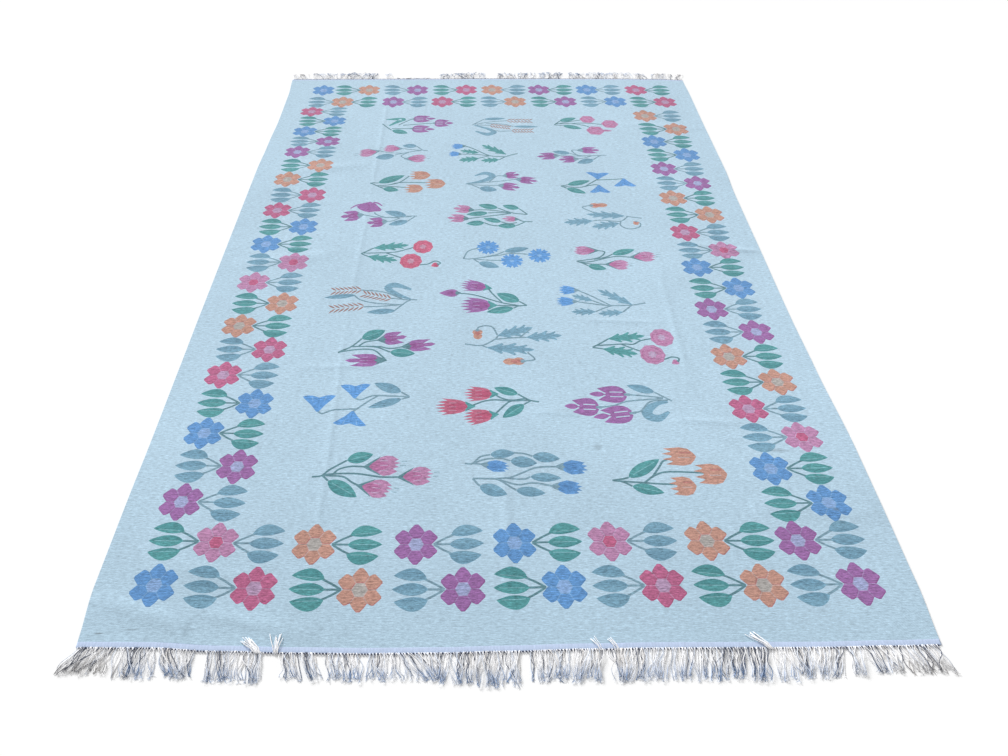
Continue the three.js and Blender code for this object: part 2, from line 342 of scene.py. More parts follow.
class Chart:
    """The design: outlines in millimetres, each with its yarn, later ones over earlier ones."""

    STEM_WIDTH = 5.4

    def __init__(self):
        self.shapes = []
        self.origin = np.zeros(2)
        self.stem_yarn = "stem"

    def start_at(self, across, along, leaf_yarn="green"):
        """Sets the place, in design units, from which the next shapes are measured."""
        self.origin = np.array([
            (across - DESIGN_MIDDLE[0]) * DESIGN_UNIT, (DESIGN_MIDDLE[1] - along) * DESIGN_UNIT,
        ])
        self.stem_yarn = STEM_OF_LEAF[leaf_yarn]

    def fill(self, outline, yarn, fine=False):
        """Adds an outline, counter-clockwise. Fine ones show on the upper side only."""
        points = np.asarray(outline, float) + self.origin
        after = np.roll(points, -1, axis=0)
        area = (points[:, 0] * after[:, 1] - points[:, 1] * after[:, 0]).sum()
        self.shapes.append((points if area > 0 else points[::-1], yarn, fine))

    def stem(self, *points):
        self.fill(on_curve(points, [self.STEM_WIDTH, self.STEM_WIDTH]), self.stem_yarn)

    def ribbon(self, yarn, widths, *points):
        self.fill(on_curve(points, widths), yarn)

    def leaf(self, yarn, base, tip, width, bulge=0.0):
        """A leaf, with one edge further out than the other by the bulge."""
        for outline, tone, fine in ((LEAF, yarn, False), (LEAF_HALF, yarn + "_deep", True)):
            bulged = []
            for along, across in outline:
                bulged.append((along, across * (1 + math.copysign(bulge, across * bulge))))
            self.fill(on_line(base, tip, width, bulged), tone, fine)
        if yarn == "green":
            self.fill(on_line(base, tip, 2.6, bar(0.14, 0.84, 0, 0.8)), "green_pale", fine=True)

    def toothed(self, yarn, base, tip, width):
        self.fill(on_line(base, tip, width * 1.15, TOOTHED), yarn)
        self.fill(on_line(base, tip, 3.0, bar(0.02, 0.9, 0, 0.9)), yarn + "_deep", fine=True)

    def head(self, outline, yarn, base, tip, width):
        """A flower head: deeper at its heart, with pale streaks towards the tips."""
        self.fill(on_line(base, tip, width, outline), yarn)
        self.fill(on_line(base, tip, width, CORE), yarn + "_deep", fine=True)
        for across in (-0.46, 0.04, 0.5):
            self.fill(on_line(base, tip, width, bar(0.4, 0.62, across, 0.04)), yarn + "_pale", fine=True)

    def tulip(self, yarn, base, tip, width):
        self.head(TULIP, yarn, base, tip, width)
        self.fill(on_line(base, tip, width, SEPALS), self.stem_yarn)

    def spiked(self, yarn, base, tip, width):
        self.head(SPIKED, yarn, base, tip, width)
        self.fill(on_line(base, tip, width, GOBLET), "green")

    def teardrop(self, yarn, base, tip, width):
        self.head(TEARDROP, yarn, base, tip, width)
        self.fill(on_line(base, tip, width, CUP_EDGES), self.stem_yarn)
        for low, across in ((1.0, 0.3), (0.96, -0.12)):
            thread = bar(low, low + 0.16, across, 0.05)
            self.fill(on_line(base, tip, width, thread), "stem_grey_pale", fine=True)

    def lily(self, yarn, base, tip, width):
        self.fill(on_line(base, tip, width, LILY), yarn)
        self.fill(on_line(base, tip, width, bar(0.16, 0.52, 0.12, 0.05)), yarn + "_pale", fine=True)
        self.fill(on_line(base, tip, width, bar(0.1, 0.46, -0.4, 0.07)), yarn + "_deep", fine=True)

    def crocus(self, yarn, base, tip, width):
        """Two drooping lobes, a bar between them and a small diamond beyond."""
        spots = on_line(base, tip, width, [
            (0.02, 0.2), (0.78, 0.6), (0.02, -0.2), (0.78, -0.6), (0, 0), (0.66, 0.02), (0.6, 0), (1, 0),
        ])
        for start, end, share in ((0, 1, 0.54), (2, 3, 0.54), (4, 5, 0.3), (6, 7, 0.27)):
            self.fill(on_line(spots[start], spots[end], width * share, DROP if share > 0.27 else LEAF), yarn)
        for across in (0.24, -0.24):
            self.fill(on_line(base, tip, width, bar(0.12, 0.46, across, 0.045)), "ground")
        self.fill(on_line(base, tip, width, bar(-0.06, 0.1, 0, 0.12)), self.stem_yarn)

    def bell(self, base, tip, width):
        self.fill(on_line(base, tip, width, BELL), "sky")
        fold = [(0.2, -0.04), (0.2, 0.04), (0.86, 0.05), (0.86, -0.05)]
        self.fill(on_line(base, tip, width, fold), "sky_deep", fine=True)
        for across in (-0.42, 0.42):
            side_fold = [(0.5, across * 0.7), (0.9, across - 0.03), (0.9, across + 0.05)]
            self.fill(on_line(base, tip, width, side_fold), "sky_pale", fine=True)

    def tuft(self, base, tip, width):
        self.fill(on_line(base, tip, width, TUFT), "sky")
        for across in (-0.45, 0.0, 0.45):
            self.fill(on_line(base, tip, width, bar(0.35, 0.72, across, 0.07)), "sky_deep", fine=True)
        self.fill(on_line(base, tip, width * 0.7, SEPALS), self.stem_yarn)

    def bud(self, yarn, base, tip, width):
        self.fill(on_line(base, tip, width, BUD_OUTLINES.get(yarn, DROP)), yarn)
        self.fill(on_line(base, tip, width, CORE), yarn + "_deep", fine=True)
        self.fill(on_line(base, tip, width * 0.92, SEPALS), self.stem_yarn)

    def disc(self, yarn, middle, across, along, waves=0, depth=0.0, steps=28, fine=False):
        turn = np.linspace(0, 2 * math.pi, steps, endpoint=False)
        reach = 1 + depth * np.cos(waves * turn + 0.6)
        ring = np.column_stack([np.cos(turn) * reach * across, np.sin(turn) * reach * along])
        self.fill(ring + middle, yarn, fine)

    def arcs(self, yarn, middle, radius):
        for share, start in ((0.78, 0.3), (0.78, 2.5), (0.78, 4.3), (0.52, 1.2), (0.52, 3.6), (0.3, 5.2)):
            turn = np.linspace(start, start + 1.3, 5)
            arc = np.column_stack([np.cos(turn), np.sin(turn)]) * radius * share + middle
            self.fill(on_curve(arc, [2.6, 4.6, 2.6], 2), yarn, fine=True)

    def poppy(self, yarn, middle, radius):
        self.disc(yarn, middle, radius * 0.96, radius * 1.06, 9, 0.035, 54)
        self.arcs(yarn + "_deep", middle, radius)
        self.disc(yarn + "_pale", middle, radius * 0.3, radius * 0.34, 7, 0.22, fine=True)

    def rose(self, middle, radius):
        self.disc("pink", middle, radius, radius * 1.02, 6, 0.06, 36)
        self.arcs("rose", middle, radius)

    def cornflower(self, middle, radius):
        self.disc("sky_deep", middle, radius * 0.66, radius * 0.66)
        petal = mirrored([(0.12, 0.1), (0.66, 0.44), (1.0, 0.4), (0.9, 0.04)])
        for turn in np.radians(np.arange(9) * 40 + 10):
            end = np.array(middle) + radius * np.array([math.cos(turn), math.sin(turn)])
            self.fill(on_line(middle, end, radius, petal), "sky")
        self.disc("sky_pale", middle, radius * 0.2, radius * 0.2, steps=12, fine=True)

    def ear(self, base, tip, width):
        for place in np.linspace(0.0, 0.82, 7):
            for side in (-1, 1):
                ends = on_line(base, tip, width, [(place, 0.06 * side), (place + 0.2, 0.95 * side)])
                self.fill(on_line(ends[0], ends[1], 6.0, LEAF), "wheat")

    def flower(self, yarn, squeeze=1.0):
        """A border flower: six petals in a honeycomb round a middle of another yarn."""
        petals = [(END_PETAL, 1, 1), (END_PETAL, 1, -1)]
        petals += [(SIDE_PETAL, x, y) for x in (1, -1) for y in (1, -1)]
        for petal, x, y in petals:
            points = np.array(petal, float) * (x, y * squeeze)
            middle = points.mean(0)
            self.fill(points, yarn + "_deep")
            self.fill(middle + (points - middle) * PETAL_INSET + PETAL_SHIFT, yarn)
        for ends in SEAM_ENDS:
            for way in (1, -1):
                inner, outer = np.array(ends, float) * (way, way * squeeze)
                self.fill(on_line(inner, outer, 2.6, bar(0, 0.95, 0, 1)), yarn + "_light", fine=True)
        heart = np.array(HEART, float) * (1, squeeze)
        self.fill(heart, yarn + "_pale")
        self.fill(heart * HEART_INSET, yarn + "_heart")

    def leaf_trio(self, yarn, toward, squeeze=1.0):
        """Three leaves one above the other, their stems joined at the flower's edge."""
        self.stem_yarn = STEM_OF_LEAF[yarn]
        size = np.array([toward, squeeze])
        for base, tip, width, bulge in TRIO_LEAVES:
            base, tip = np.array(base) * size, np.array(tip) * size
            bend = base * (0.5, 0.55)
            self.stem((8 * toward, 0), bend, base + (tip - base) * 0.12)
            self.leaf(yarn, base, tip, width * squeeze, -bulge * toward)


FLOWER_EDGE = 49


def chart_pair(chart, along, leaf_x, leaves, flower_x, yarn, squeeze=1.0):
    """A border flower and the leaves beside it."""
    if leaves:
        toward = math.copysign(1, flower_x - leaf_x)
        chart.start_at(flower_x - toward * FLOWER_EDGE / DESIGN_UNIT, along)
        chart.leaf_trio(leaves, toward, squeeze)
    if yarn:
        chart.start_at(flower_x, along)
        chart.flower(yarn, squeeze)


def chart_side_border(chart, rows, columns):
    places = np.array([row[0] for row in rows], float)
    pitches = np.gradient(places) / BORDER_PITCH
    for (along, column, yarn, leaves), pitch in zip(rows, pitches):
        squeeze = min(max(pitch, 0.8), 1.03)
        chart_pair(chart, along, columns[1 - column], leaves, columns[column], yarn, squeeze)


def chart_end_borders(chart):
    for along, row in END_BORDERS.items():
        for leaf_x, leaves, flower_x, yarn in row:
            chart_pair(chart, along, leaf_x, leaves, flower_x, yarn)


# Sprigs of the field, each drawn in millimetres from the end of its stem
def crocus_and_hooked_leaf(c):
    c.start_at(248, 244)
    c.stem((0, 0), (44, -53))
    c.leaf("green", (47, -53), (115, -80), 36)
    c.ribbon("green", [8, 24, 24, 20, 6], (30, -14), (72, 30), (88, 44), (52, 46), (13, 41))
    c.stem((71, -6), (118, 41), (133, 46))
    c.crocus("plum", (128, 46), (228, 50), 70)
    c.stem((90, -10), (180, 4), (222, 9))
    c.crocus("plum", (222, 9), (306, 8), 76)
    c.stem((44, -38), (128, -40))
    c.crocus("plum", (128, -40), (228, -46), 72)


def wheat_to_the_right(c):
    c.start_at(460, 249, "grey")
    c.stem((0, 0), (50, 52))
    c.leaf("grey", (50, 52), (144, 60), 24)
    c.ribbon("grey", [8, 16, 24, 26, 8], (8, -2), (66, -34), (92, -62), (62, -81), (13, -55))
    c.stem((10, 5), (80, 28), (149, 39))
    c.ear((149, 39), (259, 37), 40)
    c.stem((20, 0), (76, -3))
    c.ear((76, -3), (165, -24), 38)
    c.stem((60, 14), (130, 8), (175, -13))
    c.leaf("grey", (175, -13), (282, -16), 20)
    c.stem((80, -45), (120, -55), (167, -52))
    c.ear((167, -52), (259, -50), 40)


def roses_to_the_right(c):
    c.start_at(651, 249)
    c.stem((0, 0), (26, 34))
    c.leaf("green", (26, 34), (99, 63), 34)
    c.stem((0, 0), (37, -5))
    c.leaf("green", (37, -5), (115, -34), 32)
    c.stem((8, 8), (81, 34), (118, 44))
    c.rose((146, 50), 31)
    c.stem((24, 10), (128, 16), (205, 4))
    c.rose((238, 8), 34)
    c.stem((76, 14), (133, -8), (149, -24))
    c.rose((170, -50), 36)
    c.leaf("pink", (194, -48), (240, -52), 16)


def pink_buds_to_the_left(c):
    c.start_at(361, 367, "grey")
    c.stem((0, 0), (-21, 3), (-47, 37))
    c.leaf("grey", (-47, 37), (-107, 40), 34)
    c.stem((-26, 0), (-73, 10), (-105, 16))
    c.teardrop("pink", (-107, 16), (-186, 20), 56)
    c.stem((-26, 0), (-58, -6), (-99, -21), (-131, -34))
    c.leaf("grey", (-133, -38), (-207, -60), 46)
    c.stem((-99, -21), (-152, -16), (-204, 0))
    c.teardrop("pink", (-199, -5), (-282, -26), 62)
    c.stem((-73, -10), (-105, -42), (-84, -65))
    c.teardrop("pink", (-86, -65), (2, -60), 60)


def blue_tufts_and_green(c):
    c.start_at(560, 381)
    c.stem((0, 0), (-25, -10), (-50, -25), (-76, -48))
    c.toothed("green", (-48, -6), (-146, 72), 40)
    c.stem((-50, -25), (-112, -17), (-175, 36), (-212, 62))
    c.tuft((-212, 62), (-270, 56), 46)
    c.stem((-112, -17), (-175, -6), (-228, -4))
    c.tuft((-228, -4), (-280, 0), 42)
    c.toothed("green", (-157, 6), (-233, 25), 32)
    c.stem((-112, -17), (-157, -36))
    c.toothed("green", (-157, -38), (-238, -53), 42)
    c.toothed("green", (-76, -48), (-149, -56), 38)


def plum_tulips_with_a_turned_one(c):
    c.start_at(754, 389, "grey")
    c.stem((0, 0), (-24, -1), (-55, -32))
    c.leaf("grey", (-55, -32), (-123, -61), 38)
    c.stem((-24, -1), (-107, -1), (-133, 30), (-132, 42), (-107, 41))
    c.tulip("plum", (-107, 41), (-21, 42), 52)
    c.stem((-107, -4), (-144, 15))
    c.leaf("grey", (-144, 15), (-214, 30), 32)
    c.stem((-24, -1), (-112, -6), (-191, -1))
    c.tulip("plum", (-193, -1), (-280, -10), 54)
    c.stem((-60, -4), (-90, -20), (-118, -27))
    c.tulip("plum", (-118, -27), (-196, -34), 52)


def orange_lilies_far(c):
    c.start_at(247, 502)
    c.stem((0, 0), (31, 2))
    c.leaf("green", (31, 2), (128, 56), 44)
    c.stem((0, 0), (26, -18), (52, -38))
    c.leaf("green", (52, -38), (112, -51), 34)
    c.stem((26, -18), (73, -12), (112, 6), (146, 50))
    c.lily("orange", (225, 56), (144, 56), 62)
    c.stem((73, -12), (120, 5), (218, 2))
    c.lily("orange", (285, -5), (207, -5), 68)
    c.stem((40, -26), (80, -24), (145, -32))
    c.lily("orange", (201, -39), (131, -39), 58)


def plum_tulips_and_hooked_leaf(c):
    c.start_at(446, 506, "grey")
    c.ribbon("grey", [6, 16, 26, 26, 22, 6], (0, 0), (50, 15), (94, 40), (102, 62), (74, 78), (34, 58))
    c.stem((90, 14), (120, 56), (146, 58))
    c.tulip("plum", (146, 58), (209, 68), 48)
    c.stem((3, 0), (112, 16), (196, 33))
    c.tulip("plum", (196, 34), (277, 18), 50)
    c.stem((8, -3), (70, -10), (128, -10))
    c.tulip("plum", (128, -10), (207, -28), 54)
    c.stem((8, -2), (24, -8), (52, -29))
    c.leaf("grey", (52, -29), (120, -44), 38)


def bells_and_green(c):
    c.start_at(644, 514)
    c.stem((0, 0), (26, 7))
    c.leaf("green", (26, 7), (115, 38), 34)
    c.stem((0, 0), (21, -17))
    c.leaf("green", (21, -17), (92, -51), 32)
    c.stem((8, -4), (78, -9), (118, 22), (146, 50))
    c.bell((146, 48), (150, 98), 90)
    c.stem((138, 42), (190, 46), (246, 52))
    c.bell((246, 54), (246, -4), 86)
    c.stem((78, -9), (125, 8), (146, 6))
    c.bell((146, 7), (146, -48), 80)


def plum_heads_to_the_left(c):
    c.start_at(351, 624, "grey")
    c.stem((0, 0), (-39, 0))
    c.leaf("grey", (-39, 0), (-119, 31), 36)
    c.stem((-8, -3), (-31, -31))
    c.leaf("grey", (-31, -31), (-99, -55), 32)
    c.stem((-20, -4), (-107, -8), (-144, 8), (-157, 24))
    c.fill(IRIS_BODY, "plum")
    c.fill(on_curve([(-192, 80), (-224, 72), (-246, 50)], [9, 8, 4]), "plum")
    c.fill(on_curve([(-166, 90), (-148, 84), (-131, 66)], [9, 8, 4]), "plum")
    c.fill(on_curve([(-184, 34), (-178, 60), (-184, 84)], [3, 4, 3]), "plum_deep", fine=True)
    c.stem((-65, -12), (-140, -6), (-199, 8))
    c.tulip("plum", (-199, 8), (-276, -4), 66)
    c.stem((-60, -12), (-86, -30), (-109, -34))
    c.tulip("plum", (-109, -34), (-178, -44), 60)


def pink_buds_and_many_leaves(c):
    c.start_at(569, 619)
    c.stem((0, 0), (-29, 38))
    c.leaf("green", (-29, 38), (-89, 58), 32)
    c.stem((0, 0), (-55, 10), (-107, 42))
    c.leaf("green", (-107, 42), (-178, 63), 34)
    c.stem((-55, 10), (-139, 29), (-198, 29))
    c.tulip("pink", (-198, 29), (-270, 42), 50)
    c.stem((-60, 8), (-110, 12), (-144, 10))
    c.leaf("green", (-144, 10), (-222, 0), 30)
    c.stem((-60, 6), (-139, -10), (-217, -26))
    c.tulip("pink", (-217, -26), (-291, -20), 50)
    c.stem((16, -47), (-18, -44), (-36, -31))
    c.tulip("pink", (-36, -31), (-94, -26), 34)
    c.stem((-10, -46), (-28, -60), (-44, -71))
    c.leaf("green", (-44, -71), (-112, -71), 32)
    c.stem((-40, -52), (-70, -58), (-97, -47))
    c.leaf("green", (-97, -47), (-160, -24), 28)
    c.stem((-110, -72), (-136, -66), (-157, -52))
    c.leaf("green", (-157, -52), (-222, -58), 32)


def orange_buds_to_the_left(c):
    c.start_at(794, 632, "grey")
    c.stem((0, 0), (-55, 12))
    c.toothed("grey", (-60, 14), (-199, 25), 44)
    c.stem((-50, 9), (-81, -20), (-144, -12), (-180, -17))
    c.toothed("grey", (-180, -17), (-285, -28), 44)
    c.toothed("grey", (-86, -32), (-188, -56), 44)
    c.stem((-78, -18), (-82, -46), (-55, -67), (-18, -56), (-10, -33), (-24, -20))
    c.bud("orange", (-22, -20), (-28, -42), 24)
    c.stem((-168, 34), (-207, 69), (-182, 81))
    c.bud("orange", (-180, 81), (-112, 86), 32)


def red_poppies(c):
    c.start_at(254, 748)
    c.stem((0, 0), (39, 33))
    c.toothed("green", (39, 33), (160, 51), 42)
    c.stem((0, 0), (24, -14))
    c.toothed("green", (24, -14), (126, -38), 40)
    c.stem((8, 4), (92, 7), (128, 15), (178, 38))
    c.poppy("red", (207, 41), 35)
    c.stem((80, 7), (110, -8), (140, -24))
    c.poppy("red", (170, -40), 38)
    c.stem((201, -61), (228, -56), (251, -40), (269, -50), (262, -60))
    c.bud("red", (264, -56), (238, -68), 26)


def cornflowers_and_grey(c):
    c.start_at(443, 763, "grey")
    c.stem((0, 0), (16, 42), (50, 60))
    c.stem((0, 0), (34, 0), (107, 21), (139, 40))
    c.leaf("grey", (139, 40), (225, 60), 30)
    c.stem((50, 4), (118, 18), (165, 29), (222, 24))
    c.stem((34, 0), (80, -8), (130, -10))
    c.stem((34, -1), (52, -21))
    c.leaf("grey", (52, -21), (120, -47), 34)
    c.cornflower((84, 64), 40)
    c.cornflower((258, 17), 40)
    c.cornflower((163, -12), 39)


def pink_tulips(c):
    c.start_at(651, 771)
    c.stem((0, 0), (76, 19), (102, 51), (80, 60))
    c.teardrop("pink", (78, 60), (-8, 60), 50)
    c.stem((60, 10), (100, 22), (126, 38))
    c.leaf("green", (126, 38), (207, 66), 32)
    c.stem((10, -4), (50, -2), (128, 25), (188, 22))
    c.teardrop("pink", (188, 22), (277, 28), 56)
    c.stem((18, -8), (50, -16), (99, -17))
    c.teardrop("pink", (99, -17), (180, -22), 54)
    c.stem((4, -2), (18, -10), (37, -25))
    c.leaf("green", (37, -25), (97, -43), 32)


def wheat_to_the_left(c):
    c.start_at(364, 880, "grey")
    c.ribbon("grey", [8, 18, 24, 26, 8], (-21, 3), (-66, 28), (-97, 58), (-74, 74), (-21, 52))
    c.stem((0, 0), (-26, -3), (-68, -52))
    c.leaf("grey", (-64, -52), (-154, -60), 26)
    c.stem((-47, 5), (-110, 39), (-181, 48))
    c.ear((-181, 50), (-277, 42), 40)
    c.stem((-30, 0), (-84, 8))
    c.ear((-84, 5), (-178, 30), 38)
    c.stem((-40, -22), (-110, -31), (-165, -34))
    c.ear((-165, -30), (-272, -46), 42)
    c.stem((-47, -24), (-131, -16), (-178, 0), (-202, 23))
    c.leaf("grey", (-196, 22), (-295, 10), 22)


def plum_carnations(c):
    c.start_at(553, 896)
    c.stem((0, 0), (-23, 20))
    c.leaf("green", (-23, 20), (-94, 60), 42)
    c.stem((0, 0), (-26, -2), (-42, -12))
    c.leaf("green", (-42, -12), (-128, -31), 32)
    c.stem((-78, 16), (-105, 55), (-122, 88))
    c.spiked("plum", (-121, 88), (-209, 108), 56)
    c.stem((-26, 0), (-84, 16), (-162, 52), (-214, 62))
    c.bud("plum", (-212, 63), (-278, 63), 38)
    c.stem((-26, -1), (-64, 0), (-108, 2))
    c.spiked("plum", (-108, 2), (-209, 4), 72)


def blue_tufts_and_grey(c):
    c.start_at(759, 890, "grey")
    c.stem((0, 0), (-44, -10), (-110, -13), (-173, -3), (-218, 8))
    c.tuft((-218, 8), (-283, 9), 46)
    c.stem((-110, -13), (-167, 34), (-208, 64))
    c.tuft((-208, 64), (-271, 66), 46)
    c.toothed("grey", (-44, -8), (-146, 68), 36)
    c.stem((-126, -12), (-150, 2), (-167, 12))
    c.toothed("grey", (-167, 12), (-230, 38), 28)
    c.stem((-110, -13), (-140, -28), (-163, -42))
    c.toothed("grey", (-163, -42), (-240, -42), 32)
    c.stem((-44, -10), (-78, -44))
    c.toothed("grey", (-78, -44), (-157, -52), 32)


def plum_tulips_and_green(c):
    c.start_at(244, 1011)
    c.stem((0, 0), (37, 26), (64, 60))
    c.leaf("green", (64, 60), (131, 97), 42)
    c.stem((58, 28), (78, 46), (118, 55))
    c.tulip("plum", (118, 55), (198, 70), 56)
    c.stem((37, 26), (89, 27), (120, 26), (152, 18), (192, 26))
    c.tulip("plum", (192, 26), (285, 38), 50)
    c.stem((84, 27), (115, 22), (152, 3))
    c.leaf("green", (152, 3), (226, -4), 36)
    c.stem((0, 0), (47, 12), (99, 13), (126, -10), (143, -32), (136, -31))
    c.tulip("plum", (136, -31), (24, -33), 54)


def orange_buds_to_the_right(c):
    c.start_at(447, 991, "grey")
    c.stem((0, 0), (50, -7), (89, 19), (99, 35))
    c.toothed("grey", (99, 35), (207, 71), 46)
    c.stem((89, 19), (140, 25), (186, 27))
    c.toothed("grey", (186, 27), (293, 35), 44)
    c.stem((165, 28), (201, 66))
    c.stem((50, -7), (66, -17))
    c.toothed("grey", (66, -17), (207, -28), 46)
    c.stem((97, 38), (84, 72), (63, 80), (42, 74), (37, 62))
    c.bud("orange", (37, 64), (39, 19), 32)
    c.stem((184, -38), (204, -67), (175, -74))
    c.bud("orange", (175, -74), (110, -76), 32)


def pink_poppies(c):
    c.start_at(654, 1001)
    c.stem((0, 0), (31, 21), (52, 37))
    c.toothed("green", (52, 37), (165, 50), 40)
    c.stem((0, 0), (31, -7))
    c.toothed("green", (31, -7), (131, -29), 42)
    c.stem((14, 8), (92, 14), (123, 13), (149, 29), (186, 38))
    c.poppy("pink", (214, 42), 36)
    c.stem((88, 13), (123, -8), (146, -20))
    c.poppy("pink", (173, -31), 38)
    c.stem((203, -52), (228, -42), (246, -48), (243, -60))
    c.bud("pink", (244, -58), (222, -70), 22)


def bells_and_grey(c):
    c.start_at(364, 1106, "grey")
    c.stem((0, 0), (-24, 17))
    c.leaf("grey", (-24, 17), (-102, 51), 34)
    c.stem((0, -2), (-21, -9))
    c.leaf("grey", (-21, -9), (-111, -41), 28)
    c.stem((0, -1), (-89, 4), (-110, 0), (-134, -12), (-152, -5))
    c.bell((-151, -7), (-154, 47), 84)
    c.stem((-89, 2), (-115, -20), (-151, -56))
    c.bell((-151, -54), (-155, -105), 90)
    c.stem((-142, -46), (-167, -47), (-209, -52), (-233, -63), (-247, -54))
    c.bell((-247, -56), (-249, 4), 92)


def coral_carnations(c):
    c.start_at(559, 1119)
    c.stem((0, 0), (-26, 7), (-57, 30))
    c.leaf("green", (-57, 30), (-123, 55), 30)
    c.stem((-34, 14), (-73, 7), (-102, 15), (-123, 31))
    c.spiked("coral", (-123, 31), (-207, 33), 54)
    c.stem((-26, 7), (-78, 5), (-120, 9), (-152, 4), (-189, -14))
    c.spiked("coral", (-189, -14), (-284, -14), 58)
    c.stem((-60, 6), (-84, 0), (-124, -45))
    c.spiked("coral", (-124, -45), (-207, -56), 54)
    c.stem((-22, 5), (-42, -9))
    c.leaf("green", (-42, -9), (-102, -56), 34)


def crocus_and_grey(c):
    c.start_at(759, 1119, "grey")
    c.stem((0, 0), (-42, 34))
    c.leaf("grey", (-42, 34), (-115, 60), 30)
    c.ribbon(
        "grey", [8, 16, 30, 30, 24, 8],
        (-12, -3), (-44, -10), (-74, -34), (-72, -55), (-47, -62), (-16, -39))
    c.stem((-22, 12), (-68, 19), (-118, 25))
    c.crocus("plum", (-118, 25), (-225, 28), 72)
    c.stem((-22, 10), (-120, 0), (-162, -16), (-202, -22))
    c.crocus("plum", (-202, -22), (-298, -16), 74)
    c.stem((-10, 4), (-60, -2), (-89, -34), (-113, -43))
    c.crocus("plum", (-113, -43), (-224, -58), 72)


def pink_carnations(c):
    c.start_at(239, 1255)
    c.stem((0, 0), (25, 4), (45, 25), (82, 52))
    c.leaf("green", (82, 52), (147, 72), 36)
    c.stem((25, 4), (50, 8), (65, 24), (95, 33), (131, 32))
    c.teardrop("pink", (131, 32), (222, 39), 64)
    c.stem((25, 4), (60, 10), (115, 10), (170, 1), (219, 0))
    c.teardrop("pink", (219, 0), (306, 5), 58)
    c.stem((25, 4), (76, 1), (102, -16), (120, -26))
    c.teardrop("pink", (120, -26), (206, -41), 56)
    c.stem((25, 4), (42, -12))
    c.leaf("green", (42, -12), (119, -60), 40)


def blue_buds_and_grey(c):
    c.start_at(448, 1233, "grey")
    c.stem((0, 0), (20, 0), (40, 21), (65, 27))
    c.leaf("grey", (65, 27), (130, 32), 29)
    c.stem((127, 33), (153, 29), (173, 21))
    c.leaf("grey", (173, 21), (243, 11), 33)
    c.stem((20, 0), (51, 12), (85, 15), (116, 7))
    c.leaf("grey", (116, 7), (184, -2), 36)
    c.stem((20, 0), (45, -4))
    c.bud("blue", (45, -3), (113, -16), 37)
    c.stem((20, -47), (102, -48), (141, -33), (181, -16), (236, -14))
    c.bud("blue", (236, -14), (311, -19), 46)
    c.stem((102, -48), (147, -51), (164, -44))
    c.leaf("grey", (164, -44), (242, -50), 28)
    c.stem((74, -48), (108, -61), (136, -68), (170, -63), (219, -74))
    c.bud("blue", (219, -74), (291, -82), 42)
    c.stem((82, -50), (108, -70), (127, -84))
    c.leaf("grey", (127, -84), (199, -95), 30)
    c.stem((20, -47), (37, -70))
    c.leaf("grey", (37, -70), (105, -98), 36)


def orange_lilies_near(c):
    c.start_at(649, 1265)
    c.stem((0, 0), (26, 4), (42, 9))
    c.leaf("green", (42, 9), (128, 66), 36)
    c.stem((0, 0), (26, -5), (47, -18))
    c.leaf("green", (47, -18), (123, -38), 32)
    c.stem((20, -3), (81, -8), (112, -11), (168, -14))
    c.lily("orange", (204, -18), (139, -18), 58)
    c.stem((78, -8), (112, 17), (149, 26), (240, 22))
    c.lily("orange", (288, 19), (207, 19), 65)
    c.stem((100, 8), (123, 40), (139, 61), (172, 70))
    c.lily("orange", (221, 75), (136, 75), 60)


SPRIGS = [
    crocus_and_hooked_leaf, wheat_to_the_right, roses_to_the_right,
    pink_buds_to_the_left, blue_tufts_and_green, plum_tulips_with_a_turned_one,
    orange_lilies_far, plum_tulips_and_hooked_leaf, bells_and_green,
    plum_heads_to_the_left, pink_buds_and_many_leaves, orange_buds_to_the_left,
    red_poppies, cornflowers_and_grey, pink_tulips,
    wheat_to_the_left, plum_carnations, blue_tufts_and_grey,
    plum_tulips_and_green, orange_buds_to_the_right, pink_poppies,
    bells_and_grey, coral_carnations, crocus_and_grey,
    pink_carnations, blue_buds_and_grey, orange_lilies_near,
]


def charted_rug():
    chart = Chart()
    chart_side_border(chart, LEFT_BORDER, LEFT_COLUMNS)
    chart_side_border(chart, RIGHT_BORDER, RIGHT_COLUMNS)
    chart_end_borders(chart)
    for sprig in SPRIGS:
        sprig(chart)
    return chart.shapes


def linear(srgb):
    """A colour as seen, as the light it returns."""
    share = np.asarray(srgb, float) / 255
    return np.where(share <= 0.04045, share / 12.92, ((share + 0.055) / 1.055) ** 2.4)


# The cloth's mesh: the design's outlines, triangulated with a loose grid of ground points
def crease_points():
    """Rows of points along each crease, closest where the cloth bends most."""
    rows = []
    for start, end, half_width, _ in CREASES:
        axis = np.subtract(end, start)
        length = np.hypot(*axis)
        side = np.array([-axis[1], axis[0]]) / length
        along = np.linspace(0, 1, int(length / CREASE_STEP) + 1)[:, None]
        rows.extend(start + along * axis + share * half_width * side for share in CREASE_ROWS)
    points = np.vstack(rows)
    inside = np.abs(points) < (HALF_WIDTH - 2 * RIM_INSET, HALF_CLOTH - 2 * RIM_INSET)
    return points[inside.all(axis=1)]


def ground_points():
    """The loose grid and a line just inside the rim."""
    across = np.linspace(-HALF_WIDTH, HALF_WIDTH, GRID_ACROSS + 1)
    along = np.linspace(-HALF_CLOTH, HALF_CLOTH, GRID_ALONG + 1)
    x, y = np.meshgrid(across, along)
    points = [np.column_stack([x.ravel(), y.ravel()])]
    for edge in (-1, 1):
        rim_x = edge * (HALF_WIDTH - RIM_INSET)
        rim_y = edge * (HALF_CLOTH - RIM_INSET)
        points.append(np.column_stack([np.full(GRID_ALONG - 1, rim_x), along[1:-1]]))
        points.append(np.column_stack([across[1:-1], np.full(GRID_ACROSS - 1, rim_y)]))
    return np.vstack(points)


